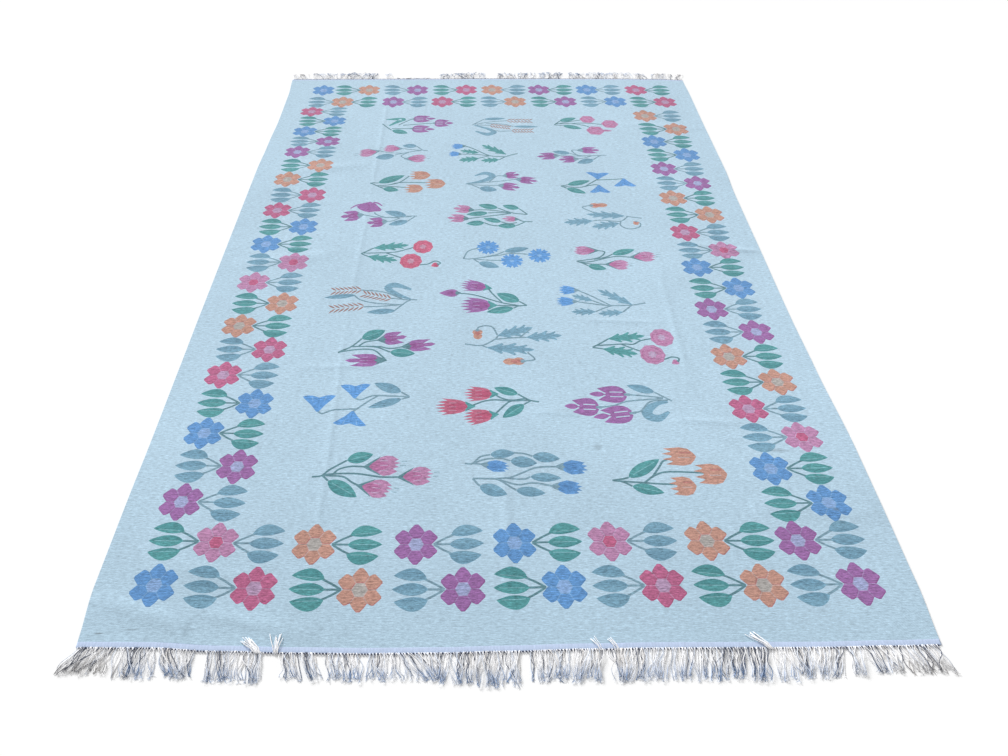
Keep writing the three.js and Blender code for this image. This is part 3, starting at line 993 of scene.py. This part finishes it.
def triangulated(shapes, ground):
    """Corners, triangles and the number of each triangle's yarn: that of the last shape over it."""
    points = [Vector(point) for point in ground.tolist()]
    faces = []
    for outline, _, _ in shapes:
        faces.append(list(range(len(points), len(points) + len(outline))))
        points.extend(Vector(point) for point in outline.tolist())
    made = delaunay_2d_cdt(points, [], faces, 0, 1e-4, True)
    corners = np.array([tuple(point) for point in made[0]])
    triangles = np.array([tuple(face) for face in made[2]])
    uppermost = np.array([max(owners, default=-1) for owners in made[5]])
    numbers = np.array([YARN_NUMBER[yarn] for _, yarn, _ in shapes] + [YARN_NUMBER["ground"]])
    return corners, triangles, numbers[uppermost]


def rim_walk(corners):
    """Numbers of the rim's corners, counter-clockwise from the near left."""
    x, y = corners[:, 0], corners[:, 1]
    close = RIM_TOLERANCE
    near, far = y < close - HALF_CLOTH, y > HALF_CLOTH - close
    left, right = x < close - HALF_WIDTH, x > HALF_WIDTH - close
    walk = np.select(
        [near & ~right, right & ~far, far & ~left, left],
        [
            x + HALF_WIDTH, RIM_LEG + y + HALF_CLOTH,
            2 * RIM_LEG + HALF_WIDTH - x, 3 * RIM_LEG + HALF_CLOTH - y,
        ], -1.0)
    order = np.argsort(walk)
    return order[walk[order] >= 0]


def thinned(shapes):
    """The design of the underside: no fine lines, and only half the points of the long outlines."""
    kept = [shape for shape in shapes if not shape[2]]
    return [(o[::2] if len(o) > LONG_OUTLINE else o, yarn, fine) for o, yarn, fine in kept]


def upward(x, y):
    """Normals of the cloth's upper side, from the slope of its relief."""
    step = 0.5
    slope_x = (relief(x + step, y) - relief(x - step, y)) / (2 * step)
    slope_y = (relief(x, y + step) - relief(x, y - step)) / (2 * step)
    normals = np.column_stack([-slope_x, -slope_y, np.ones(len(x))])
    return normals / np.linalg.norm(normals, axis=1)[:, None]


def rim_outward(x, y):
    """Level normals of the rim."""
    at_side = np.abs(x) > HALF_WIDTH - RIM_TOLERANCE
    return np.column_stack([np.sign(x) * at_side, np.sign(y) * ~at_side, np.zeros(len(x))])


def cloth_mesh(shapes):
    ground = ground_points()
    top, top_faces, top_yarns = triangulated(shapes, np.vstack([ground, crease_points()]))
    under, under_faces, under_yarns = triangulated(thinned(shapes), ground)
    x, y = top.T
    top_place = np.column_stack([*settle(x, y), THICKNESS + relief(x, y)])
    rim = rim_walk(top)
    top_place[rim, 2] -= np.where(np.abs(x[rim]) > HALF_WIDTH - RIM_TOLERANCE, SIDE_ROUNDING, END_ROUNDING)
    under_x, under_y = under.T
    under_place = np.column_stack([*settle(under_x, under_y), UNDERSIDE + relief(under_x, under_y)])
    under_rim = rim_walk(under)
    under_place[under_rim, 2] += SIDE_ROUNDING

    middle = (top_place[rim] + under_place[under_rim]) / 2
    middle[:, 0] += SIDE_SWELL * rim_outward(x[rim], y[rim])[:, 0]
    under_start = len(top_place)
    middle_ids = under_start + len(under_place) + np.arange(len(rim))
    places = np.vstack([top_place, under_place, middle]) * MM
    ahead = np.roll(np.arange(len(rim)), -1)
    walls = []
    for upper, lower in ((rim, middle_ids), (middle_ids, under_start + under_rim)):
        walls.append(np.column_stack([upper, lower, lower[ahead]]))
        walls.append(np.column_stack([upper, lower[ahead], upper[ahead]]))
    faces = np.vstack([top_faces, under_faces[:, ::-1] + under_start, *walls])
    edge_yarns = np.full(4 * len(rim), YARN_NUMBER["ground"])
    normals = np.vstack([upward(x, y), -upward(under_x, under_y), rim_outward(x[rim], y[rim])])
    return places, faces, np.concatenate([top_yarns, under_yarns, edge_yarns]), normals


def bake_map(places, faces, under):
    """A plain map from above: the upper side large, the underside small beside it."""
    loops = places[faces.ravel()]
    span = LENGTH * MM
    u = (loops[:, 0] + HALF_WIDTH * MM) / span * MAP_SIZE + MAP_MARGIN
    v = (loops[:, 1] + LENGTH / 2 * MM) / span * MAP_SIZE + MAP_MARGIN
    small = np.repeat(under, 3)
    u = np.where(small, UNDER_START + u * UNDER_SIZE, u)
    v = np.where(small, v * UNDER_SIZE, v)
    return np.column_stack([u, v])


def make_object(name, places, faces):
    mesh = bpy.data.meshes.new(name)
    mesh.from_pydata(places.tolist(), [], faces if isinstance(faces, list) else faces.tolist())
    piece = bpy.data.objects.new(name, mesh)
    bpy.context.scene.collection.objects.link(piece)
    mesh.polygons.foreach_set("use_smooth", np.ones(len(mesh.polygons), bool))
    return piece


def make_cloth():
    places, faces, yarns, normals = cloth_mesh(charted_rug())
    piece = make_object("cloth", places, faces)
    mesh = piece.data
    # The fourth channel sets how strongly each yarn is flecked and given painted shade in the hollows of the
    # weave
    fleck_and_shade_amounts = [GROUND_FLECK_AND_SHADE if name == "ground" else YARN_FLECK_AND_SHADE for name in YARNS]
    palette = np.column_stack([linear(list(YARNS.values())), fleck_and_shade_amounts])
    colour = mesh.color_attributes.new("Yarn", "FLOAT_COLOR", "CORNER")
    colour.data.foreach_set("color", np.repeat(palette[yarns], 3, axis=0).astype(np.float32).ravel())
    first, second, third = (places[faces[:, corner]] for corner in range(3))
    facing_down = np.cross(second - first, third - first)[:, 2] < 0
    uv = mesh.uv_layers.new(name="OFBake")
    uv.data.foreach_set("uv", bake_map(places, faces, facing_down).astype(np.float32).ravel())
    mesh.normals_split_custom_set_from_vertices(normals.tolist())
    return piece


# Fringe
STRAND_RADIUS = 0.95
STRAND_STATIONS = 11
STRAND_SIDES = 5
FRAY_FIBRES = 3
NEAR_SEED = 11
FAR_SEED = 23
KNOT_PITCH = 6.7
# Colours of the fringe, in sRGB. The dark tone is painted shade: strands in it stand in for the shadow lines
# between the pale strands.
FRINGE_COLOURS = {
    "white": (252, 252, 254), "cool": (222, 229, 241), "warm": (236, 233, 231), "dark": (92, 99, 117),
    "blue_tip": (126, 162, 208), "dirty_tip": (126, 123, 122),
    "band": (190, 206, 233), "knot": (232, 234, 240), "dot": (40, 50, 78),
}
# Strands of the dark tone are painted shade, put among the pale ones at both ends for the shadow lines
# between strands
STRAND_TONES = ("white", "cool", "warm", "dark")
NEAR_TONE_SHARES = (0.48, 0.2, 0.12, 0.2)
FAR_TONE_SHARES = (0.46, 0.2, 0.14, 0.2)
# Tips of the strands, left to right: up to this place across, their yarn, and how strongly they are tinted
TIP_TINTS = [
    (-800, "dirty_tip", 0.9), (-350, "blue_tip", 0.75), (600, "blue_tip", 0.9), (790, "blue_tip", 0.5),
    (1000, "dirty_tip", 0.7),
]
# How far across the tips, the loose fibres and the fringe's map may reach
TIP_LIMIT = 926
FIBRE_LIMIT = 928
MAP_LIMIT = 930
# The heading band's section: share across it, height, share of the cloth's waves and of the ribs
HEADING_STATIONS = 731
HEADING_RIB = 0.2
HEADING_SECTION = np.array([
    (-0.025, 2.93, 1, 0), (0.03, 2.95, 1, 0.2), (0.3, 2.9, 0.8, 1), (0.55, 2.75, 0.5, 1), (0.8, 2.5, 0.3, 1),
    (0.95, 2.0, 0.1, 0.5), (1.0, 0.9, 0, 0), (0.9, 0.2, 0, 0), (0.1, 0.2, 0, 0),
])


class YarnMesh:
    """Gathers closed meshes with a colour on each corner point."""

    def __init__(self):
        self.places, self.colours, self.maps, self.faces, self.count = [], [], [], [], 0

    def add(self, places, colours, faces, maps):
        self.places.append(places)
        self.colours.append(colours)
        self.maps.append(maps)
        self.faces.extend((np.asarray(faces) + self.count).tolist())
        self.count += len(places)

    def make(self, name):
        piece = make_object(name, np.vstack(self.places) * MM, self.faces)
        mesh = piece.data
        colour = mesh.color_attributes.new("Yarn", "FLOAT_COLOR", "POINT")
        rgba = np.column_stack([np.vstack(self.colours), np.ones(self.count)])
        colour.data.foreach_set("color", rgba.astype(np.float32).ravel())
        corners = np.zeros(len(mesh.loops), int)
        mesh.loops.foreach_get("vertex_index", corners)
        uv = mesh.uv_layers.new(name="OFBake")
        uv.data.foreach_set("uv", np.vstack(self.maps)[corners].astype(np.float32).ravel())
        return piece


MAP_TILES = 4
MAP_TILE_WIDTH = 2 * MAP_LIMIT / MAP_TILES ** 2


def fringe_map(places, home_x, reach):
    """A map from above, the fringe cut into tiles that fill a square."""
    tile = int(np.clip((home_x + MAP_LIMIT) / MAP_TILE_WIDTH, 0, MAP_TILES ** 2 - 1))
    middle = (tile + 0.5) * MAP_TILE_WIDTH - MAP_LIMIT
    u = np.clip((places[:, 0] - middle) / (MAP_TILE_WIDTH * 1.9) + 0.5, 0.02, 0.98)
    v = np.clip((np.abs(places[:, 1]) - reach + 60) / 150, 0.02, 0.98)
    return np.column_stack([(u + tile % MAP_TILES) / MAP_TILES, (v + tile // MAP_TILES) / MAP_TILES])


def tube(path, radius, twist):
    """A plied strand: a two-lobed section that turns along the path, closed at both ends."""
    slope = np.gradient(path, axis=0)
    slope /= np.linalg.norm(slope, axis=1)[:, None]
    side = np.cross(slope, (0, 0, 1))
    side /= np.linalg.norm(side, axis=1)[:, None]
    over = np.cross(side, slope)
    turn = np.arange(STRAND_SIDES) * 2 * math.pi / STRAND_SIDES
    phase = twist * np.linspace(0, 1, len(path))[:, None]
    reach = radius[:, None] * (0.82 + 0.24 * np.cos(2 * (turn[None] - phase)))
    places = (path[:, None] + (reach * np.cos(turn))[..., None] * side[:, None]
              + (reach * np.sin(turn))[..., None] * over[:, None]).reshape(-1, 3)
    faces = []
    for s in range(len(path) - 1):
        for k in range(STRAND_SIDES):
            a, b = s * STRAND_SIDES + k, s * STRAND_SIDES + (k + 1) % STRAND_SIDES
            faces.append((a, b, b + STRAND_SIDES, a + STRAND_SIDES))
    last = (len(path) - 1) * STRAND_SIDES
    caps = [tuple(range(STRAND_SIDES))[::-1], tuple(range(last, last + STRAND_SIDES))]
    return places, faces, caps


def add_strand(store, path, radius, colours, home_x, reach, twist):
    places, faces, caps = tube(path, radius, twist)
    tints = np.repeat(colours, STRAND_SIDES, axis=0)
    start = store.count
    store.add(places, tints, faces, fringe_map(places, home_x, reach))
    store.faces.extend([tuple(start + i for i in cap) for cap in caps])


def plain_colours(yarn, stations):
    return np.repeat(linear(FRINGE_COLOURS[yarn])[None], stations, axis=0)


def strand_colours(rng, shares, root_x):
    tone = linear(FRINGE_COLOURS[rng.choice(STRAND_TONES, p=shares)])
    _, tip_name, strength = next(row for row in TIP_TINTS if root_x < row[0])
    tip = linear(FRINGE_COLOURS[tip_name])
    along = np.linspace(0, 1, STRAND_STATIONS)[:, None]
    tipped = np.clip((along - 0.55) / 0.3, 0, 1) * strength * rng.uniform(0.1, 1)
    return (tone + (tip - tone) * tipped) * rng.uniform(0.9, 1.04)


def fringe_strands(store, rng, end):
    for root0, root1, tip0, tip1, length in end.clumps:
        count = max(3, int((root1 - root0) / end.pitch * min(1, length / 40)))
        for i in range(count):
            share = (i + 0.5 + rng.uniform(-0.45, 0.45)) / count
            root_x = root0 + (root1 - root0) * share
            tip_share = np.clip(share + rng.normal(0, 0.17), 0, 1)
            tip_x = tip0 + (tip1 - tip0) * tip_share + end.curl * rng.normal(0, 1.5)
            tip_x = np.clip(tip_x, -TIP_LIMIT, TIP_LIMIT)
            s = np.linspace(0, 1, STRAND_STATIONS)
            sway = rng.normal(0, 2.2) * np.sin(math.pi * s) + rng.normal(0, 1.6) * np.sin(2 * math.pi * s)
            sway += 0.5 * end.curl * rng.normal(0, 1) * np.sin(3 * math.pi * s)
            x = root_x + (tip_x - root_x) * s ** 1.25 + end.curl * sway
            y = end.reach(root_x) - 1.5 + length * rng.uniform(0.82, 1.03) * s
            layer = rng.uniform(0, 1) ** 1.4 * end.loft * min(1, length / 40)
            z = STRAND_RADIUS * 1.3 + 1.0 * np.exp(-s * 6) + layer * np.sin(math.pi * (0.08 + 0.72 * s))
            radius = STRAND_RADIUS * rng.uniform(0.75, 1.15) * np.where(s > 0.93, 0.75, 1.0)
            colours = strand_colours(rng, end.tones, root_x)
            path = np.column_stack([x, end.direction * y, z])
            add_strand(store, path, radius, colours, root_x, end.reach(root_x), rng.uniform(14, 22))
            add_fray(store, rng, path[-1], end, colours[-1], root_x)


def add_fray(store, rng, cut, end, colour, root_x):
    """Loose fibres that spread from a strand's cut end."""
    s = np.linspace(0, 1, 3)
    for _ in range(FRAY_FIBRES):
        forward = end.direction * rng.uniform(2, 6)
        spread = np.column_stack([rng.normal(0, 3.2) * s, forward * s, -0.5 * cut[2] * s ** 2])
        path = cut + spread
        path[:, 0] = np.clip(path[:, 0], -FIBRE_LIMIT, FIBRE_LIMIT)
        path[:, 2] = np.maximum(path[:, 2], 0.35)
        colours = np.repeat(colour[None], len(s), axis=0)
        add_strand(store, path, np.array([0.55, 0.45, 0.25]), colours, root_x, end.reach(root_x), 2.0)


def flipped_tufts(store, rng, end):
    """Strands thrown back over the heading, lying on the cloth."""
    for root, tip, back, count in end.flipped:
        for _ in range(count):
            root_x = root + rng.uniform(-5, 5)
            tip_x = tip + rng.normal(0, 7)
            s = np.linspace(0, 1, STRAND_STATIONS)
            loop = 5 * np.sin(math.pi * np.clip(s * 2.6, 0, 1))
            x = root_x + (tip_x - root_x) * s + rng.normal(0, 1.5) * np.sin(math.pi * s)
            y = end.reach(root_x) + loop - (back * rng.uniform(0.75, 1.12) + 2) * s ** 1.3
            z = 1.6 + 5.0 * np.clip(s * 3.2, 0, 1) - 1.2 * s + rng.uniform(0, 2.4) * np.sin(math.pi * s)
            radius = STRAND_RADIUS * rng.uniform(0.9, 1.2) * np.where(s > 0.93, 0.75, 1.0)
            colours = plain_colours("white", STRAND_STATIONS) * rng.uniform(0.94, 1.06)
            path = np.column_stack([x, end.direction * y, z])
            add_strand(store, path, radius, colours, root_x, end.reach(root_x), 16.0)


def heading_band(store, end):
    """The pale woven band at an end: fine ribs across it, closed round its edges."""
    stations = HEADING_STATIONS
    x = np.linspace(*end.corners, stations)
    rib = HEADING_RIB * np.cos(np.arange(stations) * math.pi)
    across, heights, lifted, ribbed = HEADING_SECTION.T
    sides = len(across)
    places = np.empty((stations, sides, 3))
    places[:, :, 0] = x[:, None]
    places[:, :, 1] = end.direction * (end.reach(x)[:, None] - HEADING_WIDTH * (1 - across))
    wave = relief(x, np.full(stations, end.direction * HALF_CLOTH))
    places[:, :, 2] = heights + rib[:, None] * ribbed + wave[:, None] * lifted
    faces = []
    for s in range(stations - 1):
        for k in range(sides):
            a, b = s * sides + k, s * sides + (k + 1) % sides
            quad = (a, a + sides, b + sides, b)
            faces.append(quad if end.direction < 0 else quad[::-1])
    flat = places.reshape(-1, 3)
    tint = np.repeat(1 + 0.05 * np.sin(np.arange(stations) * 2.3), sides)[:, None]
    maps = np.vstack([fringe_map(point[None], point[0], LENGTH / 2) for point in flat])
    start = store.count
    store.add(flat, linear(FRINGE_COLOURS["band"]) * tint, faces, maps)
    first = tuple(start + k for k in range(sides))
    last = tuple(start + (stations - 1) * sides + k for k in range(sides))
    store.faces.extend([first, last[::-1]] if end.direction < 0 else [first[::-1], last])


def knot_row(store, rng, end):
    """Twisted knots along the band's outer edge, each beside a dark gap."""
    s = np.linspace(0, 1, 5)
    thick = np.array([0.7, 1.3, 1.45, 1.25, 0.7])
    hump = np.sin(math.pi * s)
    for x in np.arange(end.corners[0] + 5, end.corners[1] - 6, KNOT_PITCH):
        reach = end.reach(x)
        x = x + rng.uniform(-0.7, 0.7)
        knot = np.column_stack([x + 2.4 * s - 1.2, end.direction * (reach - 1.2 + 5 * s), 1.8 + 0.9 * hump])
        white = plain_colours("knot", len(s)) * rng.uniform(0.92, 1.03)
        add_strand(store, knot, thick, white, x, reach, 3.0)
        gap = np.column_stack([x + 2.2 + 3.2 * s, end.direction * (reach - 0.2 + 1.6 * s), 2.2 + 0.6 * hump])
        dark = plain_colours("dot", len(s)) * rng.uniform(0.7, 1.3)
        add_strand(store, gap, thick * 1.25, dark, x, reach, 1.0)


class End:
    """What differs between the two ends of the rug."""

    def __init__(self, direction, places, out, corners, clumps, pitch, loft, curl, tones, flipped):
        self.direction, self.places, self.out, self.corners = direction, places, out, corners
        self.clumps, self.pitch, self.loft, self.curl = clumps, pitch, loft, curl
        self.tones, self.flipped = tones, flipped

    def reach(self, x):
        return LENGTH / 2 + smooth_read(self.places, self.out, x)


def end_corners(row):
    return -HALF_WIDTH - SIDE_LEFT[row], HALF_WIDTH + SIDE_RIGHT[row]


def make_fringe(name, seed, end):
    rng = np.random.default_rng(seed)
    store = YarnMesh()
    heading_band(store, end)
    knot_row(store, rng, end)
    fringe_strands(store, rng, end)
    flipped_tufts(store, rng, end)
    return store.make(name)


# Materials
class Shader:
    """A material's node tree, built by short calls that return sockets."""

    def __init__(self, name):
        self.material = bpy.data.materials.new(name)
        self.material.use_nodes = True
        self.nodes = self.material.node_tree.nodes
        self.links = self.material.node_tree.links
        self.surface = self.nodes["Principled BSDF"]

    def add(self, kind, inputs=(), **settings):
        node = self.nodes.new(kind)
        for key, value in settings.items():
            setattr(node, key, value)
        for key, value in dict(inputs).items():
            self.put(node.inputs[key], value)
        return node

    def put(self, socket, value):
        if isinstance(value, bpy.types.NodeSocket):
            self.links.new(value, socket)
        else:
            socket.default_value = value

    def math(self, operation, *values):
        return self.add("ShaderNodeMath", dict(enumerate(values)), operation=operation).outputs[0]

    def vector_math(self, operation, *values):
        return self.add("ShaderNodeVectorMath", dict(enumerate(values)), operation=operation).outputs[0]

    def noise(self, vector, stretch, detail):
        placed = self.vector_math("MULTIPLY", vector, stretch)
        node = self.add("ShaderNodeTexNoise", {"Vector": placed, "Scale": 1.0, "Detail": detail})
        return node.outputs["Fac"]

    def swing(self, value, amount):
        """A value from 0 to 1 as a share above or below one."""
        return self.math("MULTIPLY_ADD", value, amount, 1 - amount / 2)

    def tinted(self, colour, factor):
        node = self.add("ShaderNodeVectorMath", {0: colour}, operation="SCALE")
        self.put(node.inputs["Scale"], factor)
        return node.outputs[0]

    def bump(self, height, distance, strength):
        node = self.add("ShaderNodeBump", {"Height": height, "Distance": distance, "Strength": strength})
        self.put(self.surface.inputs["Normal"], node.outputs[0])


# Marks on the cloth: place, half length across and along the rug in metres, and strength
STAINS = [
    ((0.714, -0.847), (0.036, 0.009), 0.42),
    ((0.250, -0.836), (0.014, 0.011), 0.35),
    ((0.172, -0.708), (0.05, 0.012), 0.16),
    ((0.800, -1.03), (0.012, 0.006), 0.4),
    ((-0.866, -1.335), (0.012, 0.003), 0.75),
    ((-0.800, -1.327), (0.02, 0.0025), 0.4),
    ((-0.135, -0.49), (0.006, 0.006), 0.35),
]
STAIN_COLOUR = (0.16, 0.2, 0.23, 1.0)


def stained(shader, place, streak, colour):
    """The cloth's colour with its soft, ragged marks."""
    for (x, y), (half_x, half_y), strength in STAINS:
        centred = shader.vector_math("SUBTRACT", place, (x, y, 0.0))
        scaled = shader.vector_math("MULTIPLY", centred, (1 / half_x, 1 / half_y, 0.0))
        away = shader.add("ShaderNodeVectorMath", {0: scaled}, operation="LENGTH").outputs["Value"]
        ragged = shader.math("ADD", away, shader.math("MULTIPLY", shader.math("SUBTRACT", streak, 0.5), 1.6))
        amount = shader.add("ShaderNodeMapRange", {
            "Value": ragged, "From Min": 1.0, "From Max": 0.3, "To Min": 0.0, "To Max": strength})
        mix = shader.add("ShaderNodeMix", data_type="RGBA")
        shader.put(mix.inputs["Factor"], amount.outputs[0])
        shader.put(mix.inputs["A"], colour)
        shader.put(mix.inputs["B"], STAIN_COLOUR)
        colour = mix.outputs["Result"]
    return colour


def wool_material():
    shader = Shader("wool_weave")
    place = shader.add("ShaderNodeTexCoord").outputs["Object"]
    axes = shader.add("ShaderNodeSeparateXYZ", {0: place}).outputs
    pick = shader.math("DIVIDE", axes["Y"], PICK_PITCH)
    row = shader.math("FLOOR", pick)
    offset = shader.math("MULTIPLY", shader.math("FLOORED_MODULO", row, 2.0), 0.5)
    float_place = shader.math("ADD", shader.math("DIVIDE", axes["X"], WARP_PITCH), offset)
    column = shader.math("FLOOR", float_place)
    round_x = shader.math("SINE", shader.math("MULTIPLY", shader.math("FRACT", float_place), math.pi))
    round_y = shader.math("SINE", shader.math("MULTIPLY", shader.math("FRACT", pick), math.pi))
    height = shader.math("MULTIPLY", round_x, round_y)

    cell = shader.add("ShaderNodeCombineXYZ", {"X": column, "Y": row}).outputs[0]
    speck = shader.add("ShaderNodeTexWhiteNoise", {"Vector": cell}, noise_dimensions="2D").outputs["Value"]
    grain = shader.noise(place, (74.0, 520.0, 1.0), 2.0)
    streak = shader.noise(place, (14.0, 330.0, 1.0), 2.0)
    patch = shader.noise(place, (3.1, 3.1, 1.0), 2.0)
    yarn = shader.add("ShaderNodeAttribute", attribute_name="Yarn").outputs
    fleck_and_weave_shade = shader.swing(speck, 0.16)
    # Painted shade: the weave's height darkens the colour in the hollows between picks and warps; speck,
    # grain, streak and patch are the yarn's own flecks
    for value, amount in ((grain, 0.95), (streak, 0.34), (patch, 0.16), (height, 0.16)):
        fleck_and_weave_shade = shader.math("MULTIPLY", fleck_and_weave_shade, shader.swing(value, amount))
    strength = shader.math("SUBTRACT", fleck_and_weave_shade, 1.0)
    factor = shader.math("MULTIPLY_ADD", strength, yarn["Alpha"], 1.0)
    # Painted shade: the cloth's colour darkens by up to 9% towards the near end
    near_end_shade = shader.add("ShaderNodeMapRange", {
        "Value": axes["Y"], "From Min": -0.7, "From Max": -1.3, "To Min": 1.0, "To Max": 0.91})
    factor = shader.math("MULTIPLY", factor, near_end_shade.outputs[0])
    colour = shader.tinted(yarn["Color"], factor)

    colour = stained(shader, place, streak, colour)
    shader.put(shader.surface.inputs["Base Color"], colour)
    shader.put(shader.surface.inputs["Roughness"], 0.95)
    shader.put(shader.surface.inputs["Specular IOR Level"], 0.15)
    shader.put(shader.surface.inputs["Sheen Weight"], 0.12)
    shader.put(shader.surface.inputs["Sheen Roughness"], 0.6)
    fuzz = shader.noise(place, (900.0, 900.0, 900.0), 1.0)
    shader.bump(shader.math("MULTIPLY_ADD", fuzz, 0.35, height), 0.0006, 0.5)
    return shader.material


def warp_material():
    shader = Shader("warp_yarn")
    place = shader.add("ShaderNodeTexCoord").outputs["Object"]
    yarn = shader.add("ShaderNodeAttribute", attribute_name="Yarn").outputs["Color"]
    fibre = shader.noise(place, (1500.0, 700.0, 900.0), 2.0)
    mottle = shader.noise(place, (160.0, 90.0, 60.0), 2.0)
    factor = shader.math("MULTIPLY", shader.swing(fibre, 0.3), shader.swing(mottle, 0.3))
    shader.put(shader.surface.inputs["Base Color"], shader.tinted(yarn, factor))
    shader.put(shader.surface.inputs["Roughness"], 0.9)
    shader.put(shader.surface.inputs["Specular IOR Level"], 0.2)
    shader.put(shader.surface.inputs["Sheen Weight"], 0.1)
    shader.bump(fibre, 0.0004, 0.4)
    return shader.material


FLOOR_HALF = 9.0
FLOOR_GREY = 0.93


def floor_material():
    shader = Shader("pale_floor")
    place = shader.add("ShaderNodeTexCoord").outputs["Object"]
    cloud = shader.noise(place, (0.7, 0.7, 0.7), 2.0)
    tint = shader.add("ShaderNodeCombineXYZ", dict.fromkeys("XYZ", FLOOR_GREY)).outputs[0]
    shader.put(shader.surface.inputs["Base Color"], shader.tinted(tint, shader.swing(cloud, 0.01)))
    shader.put(shader.surface.inputs["Roughness"], 0.8)
    shader.put(shader.surface.inputs["Specular IOR Level"], 0.1)
    return shader.material


# Camera, stage and light
CAMERA_PLACE = (-0.0767, -2.0268, 1.4886)
CAMERA_DOWN = math.radians(45.834)
CAMERA_YAW = math.radians(0.36)
CAMERA_ROLL = math.radians(0.156)
CAMERA_LENS = 26.09
CAMERA_SHIFT_X = 0.0287


def make_camera():
    ahead = Vector((
        math.sin(CAMERA_YAW) * math.cos(CAMERA_DOWN),
        math.cos(CAMERA_YAW) * math.cos(CAMERA_DOWN),
        -math.sin(CAMERA_DOWN),
    ))
    level = Vector((math.cos(CAMERA_YAW), -math.sin(CAMERA_YAW), 0.0))
    above = level.cross(ahead)
    right = level * math.cos(CAMERA_ROLL) + above * math.sin(CAMERA_ROLL)
    up = above * math.cos(CAMERA_ROLL) - level * math.sin(CAMERA_ROLL)
    data = bpy.data.cameras.new("camera")
    data.sensor_width = 36.0
    data.lens = CAMERA_LENS
    data.shift_x = CAMERA_SHIFT_X
    data.clip_end = 60.0
    camera = bpy.data.objects.new("camera", data)
    turned = Matrix((right, up, -ahead)).transposed().to_4x4()
    camera.matrix_world = Matrix.Translation(CAMERA_PLACE) @ turned
    bpy.context.scene.collection.objects.link(camera)
    bpy.context.scene.camera = camera


def make_floor():
    corners = FLOOR_HALF * np.array([(-1, -1, 0), (1, -1, 0), (1, 1, 0), (-1, 1, 0)], float)
    floor = make_object("floor", corners, [(0, 1, 2, 3)])
    floor.data.materials.append(floor_material())


LIGHT_WAY = (0.5, -0.8, -0.55)
SUN_STRENGTH = 3.3
SUN_SPREAD = 0.4
SKY_STRENGTH = 0.56


def make_light():
    world = bpy.data.worlds.new("studio")
    world.use_nodes = True
    world.node_tree.nodes["Background"].inputs["Color"].default_value = (1.0, 1.0, 1.0, 1.0)
    world.node_tree.nodes["Background"].inputs["Strength"].default_value = SKY_STRENGTH
    bpy.context.scene.world = world
    data = bpy.data.lights.new("day", "SUN")
    data.energy = SUN_STRENGTH
    data.angle = SUN_SPREAD
    lamp = bpy.data.objects.new("day", data)
    lamp.rotation_euler = Vector(LIGHT_WAY).to_track_quat("-Z", "Y").to_euler()
    bpy.context.scene.collection.objects.link(lamp)
    bpy.context.scene.view_settings.view_transform = "Standard"


def dress(piece, node, material):
    piece.data.materials.append(material)
    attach(piece, "root")
    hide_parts(node)


make_camera()
make_floor()
make_light()
cloth = make_cloth()
near_end = End(
    -1, NEAR_X, NEAR_OUT, end_corners(0), NEAR_CLUMPS, pitch=2.4, loft=8.0, curl=1.5,
    tones=NEAR_TONE_SHARES, flipped=NEAR_FLIPPED,
)
far_end = End(
    1, FAR_X, FAR_OUT, end_corners(-1), FAR_CLUMPS, pitch=4.0, loft=9.0, curl=2.6,
    tones=FAR_TONE_SHARES, flipped=[],
)
near_fringe = make_fringe("near_fringe", NEAR_SEED, near_end)
far_fringe = make_fringe("far_fringe", FAR_SEED, far_end)
warp = warp_material()
dress(cloth, "woven_cloth", wool_material())
dress(near_fringe, "fringe_near", warp)
dress(far_fringe, "fringe_far", warp)
